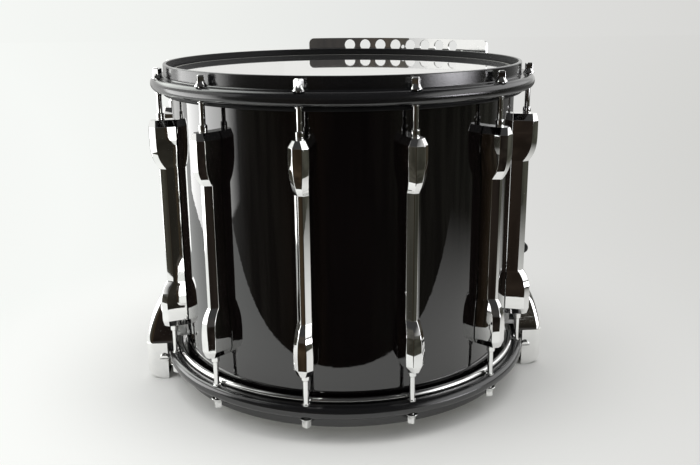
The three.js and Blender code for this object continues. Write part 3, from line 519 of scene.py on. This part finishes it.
satin, tree, shader = new_material("satin_black_paint", IOR=1.75, Metallic=0.0)
fine, grooves = use(tree, hairlines, Fineness=800.0, Amount=0.7)
cloudy = use(tree, smears, Size=16.0, Amount=0.8)
specks = use(tree, dust, Speck=800.0, Amount=0.6)
worn = wire(tree, "ShaderNodeNewGeometry").outputs["Pointiness"]
rubbed = product(tree, eased(tree, worn, 0.53, 0.62), eased(tree, cloudy, 0.1, 0.6))
colour = blended(tree, specks, (0.0065, 0.0065, 0.0072, 1), (0.10, 0.10, 0.098, 1))
coloured(tree, shader, rubbed, colour, (0.035, 0.035, 0.036, 1))
outward = vectors(tree, "DOT_PRODUCT", off_axis(tree), wire(tree, "ShaderNodeTexCoord").outputs["Normal"],
                  result="Value")
inside = eased(tree, outward, -0.02, -0.10)
roughened(tree, shader, 0.155, (cloudy, 0.06), (fine, 0.10), (inside, 0.32))
tree.links.new(sums(tree, "MULTIPLY_ADD", inside, -0.35, 0.5), shader.inputs["Specular IOR Level"])
grit = noise(tree, object_place(tree), 1500.0, 2.0)
bump(tree, shader, sums(tree, "ADD", grit, grooves), 0.10, 0.0002)

fit(turned("upper_counter_hoop", from_top(hoop_outline)), satin, "drum", "hoop", "batter_hoop")
snare_hoop = turned("lower_counter_hoop", from_bottom(hoop_outline))
gate_half, gate_low, gate_top = 28.0, 10.0, 22.9
cut_away(snare_hoop, [block(*ends, -gate_half, gate_half, gate_low, gate_top)
                      for ends in ((160.0, 184.5), (-184.5, -160.0))])
shaded(snare_hoop, 32)
fit(snare_hoop, satin, "drum", "hoop", "snare_hoop")


# The two heads: polyester film held tight over the shell's bearing edges by its flesh hoop. The
# upper one is a glossy smoke-black film, the lower a thin clear one with a little haze.
head_outline = [(0, 0), (120, 0), (172, 0), *arc(176.4, 1.6, 1.6, -90, 0, 6), (178.0, 2.8), (177.2, 2.8),
                *arc(176.2, 2.0, 1.0, 0, -90, 4), (172, 1.0), (120, 1.0), (0, 1.0)]

smoke, tree, shader = new_material("smoke_black_film", IOR=1.5, Coat_Weight=0.6, Coat_Roughness=0.01)
cloudy = use(tree, smears, Size=11.0, Amount=0.6)
fine = use(tree, hairlines, Fineness=500.0, Amount=0.25)[0]
specks = use(tree, dust, Speck=600.0, Amount=0.25)
grazing = wire(tree, "ShaderNodeLayerWeight", {"Blend": 0.5}).outputs["Facing"]
reach = vectors(tree, "LENGTH", off_axis(tree), result="Value")
# A pale ring is painted at the film's edge, where it is crimped into its hoop: a painted highlight line.
painted_highlight_ring = product(tree, eased(tree, reach, 0.1720, 0.1728), eased(tree, reach, 0.1766, 0.1758))
sheen = product(tree, eased(tree, grazing, 0.78, 0.93), sums(tree, "SUBTRACT", 1.0, painted_highlight_ring))
tree.links.new(product(tree, sheen, 0.95), shader.inputs["Metallic"])
dark = blended(tree, specks, (0.006, 0.006, 0.0065, 1), (0.05, 0.05, 0.05, 1))
# The painted highlight ring's pale colour.
dark = blended(tree, painted_highlight_ring, dark, (0.80, 0.80, 0.74, 1))
coloured(tree, shader, sheen, dark, (0.95, 0.95, 0.94, 1))
roughened(tree, shader, 0.022, (cloudy, 0.035), (fine, 0.08))
fit(turned("upper_head_film", from_top(head_outline)), smoke, "drum", "batter_film", "batter_head_film")

haze, tree, shader = new_material("hazy_clear_film", IOR=1.5, Coat_Weight=0.2)
cloudy = use(tree, smears, Size=22.0, Amount=0.8)
fine = use(tree, hairlines, Fineness=420.0, Amount=0.6)[0]
coloured(tree, shader, cloudy, (0.66, 0.66, 0.63, 1), (0.74, 0.74, 0.715, 1))
roughened(tree, shader, 0.24, (cloudy, 0.12), (fine, 0.15))
bump(tree, shader, noise(tree, object_place(tree), 900.0, 3.0), 0.08, 0.0002)
fit(turned("lower_head_film", from_bottom(head_outline)), haze, "drum", "snare_film", "snare_head_film")


# The flesh hoops: each head's edge is locked in an aluminium channel, whose inner edge is rolled
# into the bead that shows between the shell and the counter hoop. The lower one is polished
# bright, the upper one is given a near-black, dull finish.
flesh_outline = [(178.3, 6.5), (178.6, 6.2), (182.3, 6.2), (182.6, 6.5),
                 *arc(182.9, 20.15, 2.8, -96, 215, 22),
                 (180.9, 13.2), (180.6, 12.4), (178.6, 12.4), (178.3, 12.1), (178.3, 6.5)]

for name, outline, node, finish, metallic, specular, base, clean, dulled in (
        ("upper_flesh_hoop", from_top(flesh_outline), "batter_flesh_hoop", "near_black_aluminium",
         0.0, 0.12, 0.45, (0.004, 0.004, 0.0045, 1), (0.009, 0.009, 0.009, 1)),
        ("lower_flesh_hoop", from_bottom(flesh_outline), "snare_flesh_hoop", "polished_aluminium",
         1.0, 0.5, 0.10, (0.80, 0.80, 0.79, 1), (0.66, 0.66, 0.65, 1))):
    ring, tree, shader = new_material(finish, Metallic=metallic, Specular_IOR_Level=specular)
    fine, grooves = use(tree, hairlines, Fineness=600.0, Amount=0.8)
    cloudy = use(tree, smears, Size=20.0, Amount=0.8)
    coloured(tree, shader, cloudy, clean, dulled)
    roughened(tree, shader, base, (cloudy, 0.10), (fine, 0.14))
    bump(tree, shader, grooves, 0.10, 0.0001)
    fit(turned(name, outline), ring, "drum", "flesh_hoop", node)


# The twelve tube lugs: die-cast zinc, polished and chromed, with a wide faceted head at each end
# and a slim bar between. Each is bolted through the shell and takes a rod at both ends.
chrome, tree, shader = new_material("polished_chrome", Metallic=1.0)
fine, grooves = use(tree, hairlines, Fineness=1100.0, Amount=0.55)
cloudy = use(tree, smears, Size=30.0, Amount=0.7)
specks = use(tree, dust, Speck=1300.0, Amount=0.3)
tone = blended(tree, cloudy, (0.93, 0.93, 0.92, 1), (0.84, 0.85, 0.84, 1))
coloured(tree, shader, specks, tone, (0.40, 0.40, 0.39, 1))
roughened(tree, shader, 0.022, (cloudy, 0.035), (fine, 0.07))
ripple = noise(tree, object_place(tree), 75.0, 2.0, Roughness=0.4)
bump(tree, shader, sums(tree, "MULTIPLY_ADD", grooves, 0.05, ripple), 0.06, 0.0006)

rod_circle, lug_middle, lug_tip, lug_back = 190.0, 176.0, 114.3, 176.8
head_length, taper_length = 24.3, 31.0


def pick(test):
    """Selects the points of the piece in edit mode whose place, in mm, passes a test."""
    data = bpy.context.object.data
    mesh = bmesh.from_edit_mesh(data)
    mesh.select_mode = {"VERT"}
    for point in mesh.verts:
        point.select_set(test(point.co / mm))
    mesh.select_flush_mode()
    bmesh.update_edit_mesh(data)


def rounded(piece, width, segments=2, angle=25, smooth=30):
    """Softens the edges of a piece with a bevel and shades it smooth between them."""
    if width:
        changed(piece, "BEVEL", width=width * mm, segments=segments, limit_method="ANGLE",
                angle_limit=math.radians(angle))
    shaded(piece, smooth)


def join(first, *others):
    """Joins other pieces into the first."""
    select_only(first)
    for piece in others:
        piece.select_set(True)
    bpy.ops.object.join()
    return first


def lug_width(distance, wide, slim, power=1.6):
    """A lug's size at a distance in from its tip: wide over the head, then drawn in to the bar."""
    part = min(max((distance - head_length) / taper_length, 0.0), 1.0)
    return wide + (slim - wide) * part ** power


tips = [6.5, 13.1, head_length, *(head_length + taper_length * i / 12 for i in range(1, 13))]
rows = [(distance, lug_tip - distance) for distance in tips]
rows += [(distance, -z) for distance, z in reversed(rows)]


def lug_section(distance):
    """Half width, half the front face, depth of the slanted faces and how far out the front is."""
    if distance < 10:
        return 6.0, 2.0, 4.0, rod_circle + 10.0
    if distance < 20:
        return 9.1, 4.2, 5.1, rod_circle + 11.9
    return (lug_width(distance, 9.3, 6.7), lug_width(distance, 4.3, 2.1), lug_width(distance, 5.2, 5.8),
            rod_circle + lug_width(distance, 12.0, 4.4, power=3.2))


def disc(radius, sides, place, rotation=(0, 0, 0)):
    """A filled circle at a place, opened for editing."""
    bpy.ops.mesh.primitive_circle_add(vertices=sides, radius=radius * mm, fill_type="NGON", location=place,
                                      rotation=rotation)
    piece = bpy.context.object
    apply_place()
    edit_all()
    return piece


def push(along, distance, scale, centre=(0, 0, 0)):
    """Extrudes the selected face along an axis and scales it across that axis about a centre."""
    bpy.ops.mesh.extrude_region_move(TRANSFORM_OT_translate={"value": Vector(along) * (distance * mm)})
    bpy.ops.transform.resize(value=[1 if part else scale for part in along], center_override=centre)


lug = disc(10, 6, (0, 0, 0))
lug.name = "tube_lug"
seat = bmesh.from_edit_mesh(lug.data)
half, flat, slant, front = lug_section(rows[0][0])
corners = [(front, flat), (front - slant, half), (lug_back, half)]
corners += [(x, -y) for x, y in reversed(corners)]
for point, (x, y) in zip(seat.verts, corners):
    point.co = (x * mm, y * mm, rows[0][1] * mm)
bmesh.update_edit_mesh(lug.data)
for (distance, z), (next_distance, next_z) in zip(rows, rows[1:]):
    half, flat, slant, front = lug_section(distance)
    new_half, new_flat, new_slant, new_front = lug_section(next_distance)
    push((0, 0, 1), next_z - z, 1)
    for chosen, ratio, shift in (
            (lambda co: co.x > front - 0.01, new_flat / flat, new_front - front),
            (lambda co: abs(co.x - (front - slant)) < 0.01 and abs(co.y) > half - 0.01, new_half / half,
             new_front - new_slant - front + slant),
            (lambda co: co.x < lug_back + 0.01, new_half / half, 0)):
        pick(lambda co: abs(co.z - next_z) < 0.01 and chosen(co))
        bpy.ops.transform.resize(value=(1, ratio, 1), center_override=(0, 0, 0))
        bpy.ops.transform.translate(value=(shift * mm, 0, 0))
    pick(lambda co: abs(co.z - next_z) < 0.01)
close_edit()
rounded(lug, 0.45, angle=14, smooth=22)


def collar(end):
    """The round boss at a lug's tip with the hole that the rod turns in."""
    middle = (rod_circle * mm, 0, 0)
    boss = disc(4, 32, (rod_circle * mm, 0, end * (lug_tip - 7.5) * mm))
    for rise, scale in ((1.9, 1.0), (0.3, 0.93), (0.3, 1.0), (0.3, 1.075), (4.0, 1.0), (0.35, 0.97),
                        (0.35, 0.9), (0, 0.84), (-5.0, 1.0)):
        push((0, 0, 1), end * rise, scale, middle)
    close_edit()
    rounded(boss, 0)
    return boss


join(lug, collar(1), collar(-1))


def copied(data, name):
    """A new piece with its own copy of a mesh, selected."""
    copy = bpy.data.objects.new(name, data.copy())
    bpy.context.scene.collection.objects.link(copy)
    select_only(copy)
    return copy


def placed(source, name, place, turns):
    """A copy of a piece with its own mesh, set at a place (mm) and turned about the three axes."""
    copy = copied(source.data, name)
    copy.location = Vector(place) * mm + axis
    copy.rotation_euler = turns
    apply_place()
    return copy


def lug_turn(number):
    """The angle of a lug from the front of the drum towards the strainer."""
    return math.radians(30 * (number - 0.5))


for number in range(1, 13):
    piece = placed(lug, f"tube_lug_{number}", (0, 0, lug_middle), (0, 0, lug_turn(number) - math.pi / 2))
    fit(piece, chrome, "drum", "lug", f"lug_{number}")
bpy.data.objects.remove(lug)


# The 24 tension rods: chromed steel, each with a square key head over a flared collar that
# bears on the hoop's flange, and a plain shank that runs into the lug, where it is threaded.
def walked(outline, sides=32, smooth=32, lying=False):
    """A round bar, walked from end to end by (radius, place) pairs, up Z or lying along Y."""
    along = Vector((0, 1, 0) if lying else (0, 0, 1))
    radius, place = outline[0]
    piece = disc(radius, sides, along * (place * mm), (math.pi / 2 if lying else 0, 0, 0))
    for next_radius, next_place in outline[1:]:
        push(along, next_place - place, next_radius / radius)
        radius, place = next_radius, next_place
    close_edit()
    if smooth:
        rounded(piece, 0, smooth=smooth)
    return piece


def cut_through(place, along=(0, 0, 1)):
    """Adds an edge loop through the piece in edit mode at a place (mm) along an axis."""
    bpy.ops.mesh.select_all(action="SELECT")
    bpy.ops.mesh.bisect(plane_co=Vector(along) * (place * mm), plane_no=along)


key_side, key_length, key_middle = 6.4, 9.0, 5.9


def rod(shaft):
    """A rod with its seat at z = 0, its key above it and its shank below."""
    shank = [(2.1, -shaft), (2.6, 0.5 - shaft), (2.6, -14.2)]
    washer = [(3.5, -14.1), (3.8, -13.9), (3.8, -13.3), (3.6, -13.15), (2.6, -13.14), (2.6, -0.01)]
    flare = [(5.6, 0.0), (5.9, 0.3), (5.9, 0.7), (5.5, 1.1), (4.7, 2.1), (4.1, 3.2), (3.7, 4.4), (3.4, 4.8),
             (1.5, 4.9)]
    piece = walked([*shank, *washer, *flare], sides=24, smooth=28)
    bpy.ops.mesh.primitive_cube_add(size=1, location=(0, 0, key_middle * mm))
    key = bpy.context.object
    key.scale = (key_side * mm, key_side * mm, key_length * mm)
    apply_place()
    edit_all()
    cut_through(9.2)
    pick(lambda co: co.z > 10.3)
    bpy.ops.transform.resize(value=(0.72, 0.72, 1), center_override=(0, 0, 0))
    switch("OBJECT")
    rounded(key, 0.5, segments=3, angle=20, smooth=35)
    return join(piece, key)


key_turns = (53, 40, 15, 72, 29, 8, 66, 35, 81, 47, 60, 57)
inside_lug = 28.0
for kind, seat_z, flip, end, word in (("batter", 324.0, 0, 1, "upper"),
                                      ("snare", 23.6, math.pi, -1, "lower")):
    source = rod(abs(seat_z - (lug_middle + end * (lug_tip - inside_lug))))
    for number, key_turn in enumerate(key_turns, 1):
        turn = lug_turn(number)
        place = (rod_circle * math.sin(turn), -rod_circle * math.cos(turn), seat_z)
        turns = (flip, 0, turn + math.radians(key_turn))
        piece = placed(source, f"{word}_tension_rod_{number}", place, turns)
        fit(piece, chrome, f"{kind}_rod_{number}_turning", "rod", f"{kind}_rod_{number}")
    bpy.data.objects.remove(source)


# The two snare gate covers: pressed and chromed brass boxes, open at the back, with rounded
# corners below and a roof that slants in above a crease. The strainer's has a notch for its lever.
cover_face, cover_half, cover_top_half = 217.29, 35.0, 29.0
cover_low, cover_top, cover_back = 0.05, 96.0, 188.0
crease, shoulder = 41.0, 44.0
corner_round, low_round, cover_wall, back_step = 8.0, 10.0, 2.3, 6.8
roof_bend, roof_edge = (211, 76), 196.5


def roof_x(height):
    """How far out the roof is at a height: a slow curve in from the face to the top edge."""
    def curve(t, start, bend, end):
        return (1 - t) ** 2 * start + 2 * t * (1 - t) * bend + t * t * end
    steps = [k / 400 for k in range(401)]
    nearest = min(steps, key=lambda t: abs(curve(t, shoulder, roof_bend[1], cover_top) - height))
    return curve(nearest, cover_face, roof_bend[0], roof_edge)


def gate_cover(name):
    """A cover drawn for the end at +X."""
    piece = block(cover_back, cover_face, -cover_half, cover_half, cover_low, cover_top)
    piece.name = name
    switch("EDIT")
    bpy.ops.mesh.select_mode(type="EDGE")
    mesh = bmesh.from_edit_mesh(piece.data)
    for edge in mesh.edges:
        one, two = (point.co / mm for point in edge.verts)
        edge.select_set(min(one.x, two.x) > 200 and abs(one.z - two.z) > 1)
    bmesh.update_edit_mesh(piece.data)
    bpy.ops.mesh.bevel(offset=corner_round * mm, segments=8, affect="EDGES")
    bpy.ops.mesh.select_mode(type="VERT")
    shifts = [(height, math.sqrt(low_round ** 2 - (low_round - height) ** 2) - low_round, 1.0)
              for height in (cover_low, 0.8, 2.2, 4.2, 6.8)]
    shifts += [(low_round, 0.0, 1.0), (crease - 0.3, 0.0, 1.0), (crease, -0.3, 1 - 0.45 / cover_half)]
    for height in (shoulder, *(shoulder + (cover_top - shoulder) * step / 10 for step in range(1, 11))):
        risen = (height - crease + 2) / (cover_top - crease + 2)
        narrow = 1 - (1 - cover_top_half / cover_half) * risen ** 0.7
        shifts.append((height, roof_x(height) - cover_face, narrow))
    for height, shift, narrow in shifts:
        if 0.2 < height < cover_top - 0.1:
            cut_through(height)
    for height, shift, narrow in shifts:
        pick(lambda co: abs(co.z - height) < 0.05)
        bpy.ops.transform.resize(value=(1, narrow, 1), center_override=axis)
        pick(lambda co: abs(co.z - height) < 0.05 and co.x > 200)
        bpy.ops.transform.translate(value=(shift * mm, 0, 0))
    pick(lambda co: co.z < crease - 0.2 and co.x < cover_back + 0.1)
    bpy.ops.transform.translate(value=(back_step * mm, 0, 0))
    bpy.ops.mesh.select_all(action="SELECT")
    bpy.ops.mesh.normals_make_consistent(inside=False)
    bpy.ops.mesh.select_mode(type="FACE")
    mesh = bmesh.from_edit_mesh(piece.data)
    for face in mesh.faces:
        middle = face.calc_center_median() / mm
        face.select_set(middle.x < 195.2 and (face.normal.x < -0.6 or abs(middle.z - crease) < 0.2)
                        and abs(face.normal.y) < 0.5)
    bmesh.update_edit_mesh(piece.data)
    bpy.ops.mesh.delete(type="FACE")
    bpy.ops.mesh.select_mode(type="VERT")
    switch("OBJECT")
    changed(piece, "SOLIDIFY", thickness=cover_wall * mm, offset=-1, use_even_offset=True)
    return piece


strainer_cover = gate_cover("strainer_gate_cover")
butt_cover = copied(strainer_cover.data, "butt_gate_cover")
half_turn = Matrix.Rotation(math.pi, 4, "Z")
butt_cover.matrix_world = Matrix.Translation(axis) @ half_turn @ Matrix.Translation(-axis)
apply_place()
notch_half, notch_low = 14.8, 84.0
cut_away(strainer_cover, [block(176, 220, -notch_half, notch_half, notch_low, cover_top + 2)])
for piece, node in ((strainer_cover, "strainer_cover"), (butt_cover, "butt_cover")):
    rounded(piece, 0.5, angle=50, smooth=33)
    fit(piece, chrome, "drum", "cover", node)


# The cover screws: chromed steel, with a domed head and a driver slot. One goes through each cheek
# of a cover into the bracket behind it.
screw = walked([(1.5, -6.3), (1.5, 0.0), (4.7, 0.0), (4.9, 0.2), (4.9, 1.3), (4.6, 1.8), (4.1, 2.05),
                (2.6, 2.25), (1.3, 2.3), (0.3, 2.31)], smooth=None)
slit = block(-5.5, 5.5, -0.55, 0.55, 1.2, 3.0)
slit.data.transform(Matrix.Translation(-axis))
cut_away(screw, [slit])
rounded(screw, 0, smooth=35)
screw_x, screw_y, screw_z = 198.5, 35.3, 24
for gate, side in (("strainer", 1), ("butt", -1)):
    for number, end in ((1, -1), (2, 1)):
        place = (side * screw_x, side * end * screw_y, screw_z)
        turns = (-end * math.pi / 2, 0, 0 if side > 0 else math.pi)
        piece = placed(screw, f"{gate}_cover_screw_head_{number}", place, turns)
        fit(piece, chrome, "drum", "rod", f"{gate}_cover_screw_{number}")
bpy.data.objects.remove(screw)


# The brackets under the covers, the snares' holders and the carrier clamps: pressed or cast
# plates with eased edges, zinc plated where they are hidden and chromed where they show.
def eased_copy(node, name, width):
    """A copy of a plain node with its points merged, its flats cleaned and its edges softened."""
    piece = copied(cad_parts[node].data, name)
    switch("EDIT")
    merge_close(1e-5)
    bpy.ops.mesh.dissolve_limited(angle_limit=math.radians(1.5))
    close_edit()
    rounded(piece, width, angle=40, smooth=33)
    return piece


zinc, tree, shader = new_material("zinc_plated_steel", Metallic=1.0)
spangle = wire(tree, "ShaderNodeTexVoronoi", {"Vector": object_place(tree), "Scale": 260.0},
               feature="F1").outputs["Distance"]
cloudy = use(tree, smears, Size=35.0, Amount=0.9)
fine, grooves = use(tree, hairlines, Fineness=500.0, Amount=0.8)
tone = blended(tree, spangle, (0.50, 0.51, 0.52, 1), (0.62, 0.62, 0.61, 1))
coloured(tree, shader, cloudy, tone, (0.42, 0.42, 0.40, 1))
roughened(tree, shader, 0.3, (cloudy, 0.15), (fine, 0.15))
bump(tree, shader, sums(tree, "ADD", spangle, grooves), 0.15, 0.0002)

cast, tree, shader = new_material("nickel_plated_casting", Metallic=1.0)
cloudy = use(tree, smears, Size=60.0, Amount=0.9)
fine, grooves = use(tree, hairlines, Fineness=700.0, Amount=0.5)
coloured(tree, shader, cloudy, (0.62, 0.60, 0.56, 1), (0.48, 0.47, 0.44, 1))
roughened(tree, shader, 0.24, (cloudy, 0.15), (fine, 0.15))
bump(tree, shader, sums(tree, "ADD", noise(tree, object_place(tree), 700.0, 4.0), grooves), 0.2, 0.0003)

for node, name, material, body, slot, width in (
        ("strainer_base", "strainer_bracket", zinc, "drum", "bracket", 0.5),
        ("butt_base", "butt_bracket", zinc, "drum", "bracket", 0.5),
        ("strainer_carriage", "snare_carriage", cast, "carriage", "bracket", 0.7),
        ("butt_clamp", "snare_butt_clamp", cast, "drum", "bracket", 0.7),
        ("carrier_clamp_1", "left_carrier_clamp", chrome, "drum", "plate", 0.8),
        ("carrier_clamp_2", "right_carrier_clamp", chrome, "drum", "plate", 0.8)):
    fit(eased_copy(node, name, width), material, body, slot, node)


# The throw-off lever: a chromed steel arm on a round hub, whose pin turns in the strainer's two
# ears. A ribbed black rubber grip is pushed over its end.
lever_place = (190.0, 0.0, 100.0)
grip_out, grip_up = 7.5, 28.8
grip_height = math.hypot(grip_out, grip_up)

hub = walked([(5.2, -9.0), (6.0, -8.4), (6.0, -3.2), (5.6, -2.8), (5.6, 2.8), (6.0, 3.2), (6.0, 8.4),
              (5.2, 9.0)], lying=True)
pin = walked([(2.2, -14.1), (2.8, -13.6), (2.8, -13.0), (2.8, 13.0), (2.8, 13.6), (2.2, 14.1)], sides=24,
             lying=True)
arm = block(-2.5, 2.5, -7.5, 7.5, 0, grip_height + 1.5)
arm.data.transform(Matrix.Translation(-axis))
switch("EDIT")
for height, scale in ((7, 0.86), (14, 0.78), (20, 0.84)):
    cut_through(height)
    pick(lambda co: abs(co.z - height) < 0.05)
    bpy.ops.transform.resize(value=(0.92, scale, 1), center_override=(0, 0, 0))
switch("OBJECT")
rounded(arm, 1.0, segments=3, angle=40, smooth=35)
lever = join(hub, pin, arm)
lever_turns = (0, math.atan2(grip_out, grip_up), 0)
fit(placed(lever, "throw_off_lever", lever_place, lever_turns), chrome, "lever", "lever", "throw_lever")
bpy.data.objects.remove(lever)

rubber, tree, shader = new_material("moulded_black_rubber", IOR=1.5)
cloudy = use(tree, smears, Size=60.0, Amount=0.8)
specks = use(tree, dust, Speck=900.0, Amount=0.5)
tone = blended(tree, cloudy, (0.010, 0.010, 0.010, 1), (0.022, 0.022, 0.021, 1))
coloured(tree, shader, specks, tone, (0.09, 0.09, 0.085, 1))
roughened(tree, shader, 0.48, (cloudy, 0.15))
bump(tree, shader, noise(tree, object_place(tree), 1400.0, 3.0), 0.25, 0.0003)

ribs = [(radius, middle + step) for middle in (-9, -6, -3, 0, 3, 6, 9)
        for radius, step in ((5.35, -1.0), (5.95, -0.7), (5.95, 0.7), (5.35, 1.0))]
grip = walked([(4.4, -13.0), (5.1, -12.6), (5.7, -12.0), (5.9, -11.2), *ribs, (5.9, 11.2), (5.7, 12.0),
               (5.1, 12.6), (4.4, 13.0)], lying=True)
grip.data.transform(Matrix.Translation((0, 0, grip_height * mm)))
slotted = block(-2.8, 2.8, -7.8, 7.8, grip_height - 7, grip_height + 1.8)
slotted.data.transform(Matrix.Translation(-axis))
cut_away(grip, [slotted])
rounded(grip, 0, smooth=32)
fit(placed(grip, "lever_grip_rubber", lever_place, lever_turns), rubber, "lever", "grip", "lever_grip")
bpy.data.objects.remove(grip)


# The snares: twelve coiled steel strands under the lower head, soldered at both ends to a flat
# plate that the carriage and the butt clamp hold.
strand_count, strand_radius, strand_half = 12, 0.6, 193.5
strand_height, strand_pitch = 17.7, 3.6
end_near, end_far, end_half, end_wall = 189.0, 198.0, 22.0, 1.2

coil, tree, shader = new_material("coiled_steel_wire", Metallic=1.0)
turns = wire(tree, "ShaderNodeTexWave", {"Vector": object_place(tree), "Scale": 240.0, "Distortion": 0.3},
             bands_direction="X", wave_type="BANDS")
cloudy = use(tree, smears, Size=40.0, Amount=0.8)
coloured(tree, shader, cloudy, (0.66, 0.66, 0.65, 1), (0.50, 0.50, 0.49, 1))
roughened(tree, shader, 0.25, (cloudy, 0.15))
bump(tree, shader, turns.outputs["Fac"], 0.8, 0.0004)

pieces = []
for side in (-1, 1):
    ends = sorted((side * end_near, side * end_far))
    plate = block(*ends, -end_half, end_half, strand_height - end_wall, strand_height + end_wall)
    edit_all()
    bpy.ops.mesh.bevel(offset=0.35 * mm, segments=2, affect="EDGES")
    switch("OBJECT")
    rounded(plate, 0)
    pieces.append(plate)
for number in range(strand_count):
    y = axis.y + (number - (strand_count - 1) / 2) * strand_pitch * mm
    strand = disc(strand_radius, 8, (-strand_half * mm, y, strand_height * mm), (0, math.pi / 2, 0))
    push((1, 0, 0), 2 * strand_half, 1)
    close_edit()
    rounded(strand, 0, smooth=50)
    pieces.append(strand)
snares = join(*pieces)
snares.name = snares.data.name = "snare_wires"
fit(snares, coil, "snares", "strand", "snare_strands")


# The carrier plate: a chromed steel strip with rounded corners and a row of holes, cut flat and
# then rolled to the drum's curve. It is held above the upper hoop by two clamps.
plate_radius, plate_wall = 208.75, 2.5
plate_turn, plate_span = math.radians(154.65), math.radians(66.3)
plate_length = plate_radius * plate_span
plate_low, plate_high, hole_height = 285.6, 347.45, 339.0
hole_step, rolled_steps = 5.38, 64
lean = math.radians(2.4)

bpy.ops.mesh.primitive_plane_add(size=1, location=(0, 0, (plate_low + plate_high) / 2 * mm),
                                 rotation=(math.pi / 2, 0, 0))
carrier = bpy.context.object
carrier.name = carrier.data.name = "carrier_plate_rolled"
carrier.scale = (plate_length * mm, (plate_high - plate_low) * mm, 1)
apply_place()
edit_all()
bpy.ops.mesh.bevel(offset=6 * mm, segments=8, affect="VERTICES")
switch("OBJECT")
changed(carrier, "SOLIDIFY", thickness=plate_wall * mm, offset=0)
# Eight large holes and a small one under their middle, by angle, height, radius and sides.
holes = [((number - 3.5) * hole_step, hole_height, 6.5, 48) for number in range(8)] + [(0, 337.0, 2.2, 20)]
cutters = []
for along, height, radius, sides in holes:
    spot = (plate_radius * math.radians(along) * mm, 0, height * mm)
    bpy.ops.mesh.primitive_cylinder_add(vertices=sides, radius=radius * mm, depth=10 * mm, location=spot,
                                        rotation=(math.pi / 2, 0, 0))
    cutters.append(bpy.context.object)
cut_away(carrier, cutters)
switch("EDIT")
for number in range(1, rolled_steps):
    cut_through((number / rolled_steps - 0.5) * plate_length, (1, 0, 0))
merge_close(2e-6)
bpy.ops.transform.rotate(value=-lean, orient_axis="X", center_override=(0, 0, plate_high * mm))
switch("OBJECT")
rounded(carrier, 0.35, angle=45, smooth=33)
changed(carrier, "SIMPLE_DEFORM", deform_method="BEND", deform_axis="Z", angle=plate_span)
carrier.matrix_world = (Matrix.Translation(axis) @ Matrix.Rotation(plate_turn, 4, "Z")
                        @ Matrix.Translation((0, -plate_radius * mm, 0)))
select_only(carrier)
apply_place()
shaded(carrier, 33)
fit(carrier, chrome, "drum", "plate", "carrier_plate")
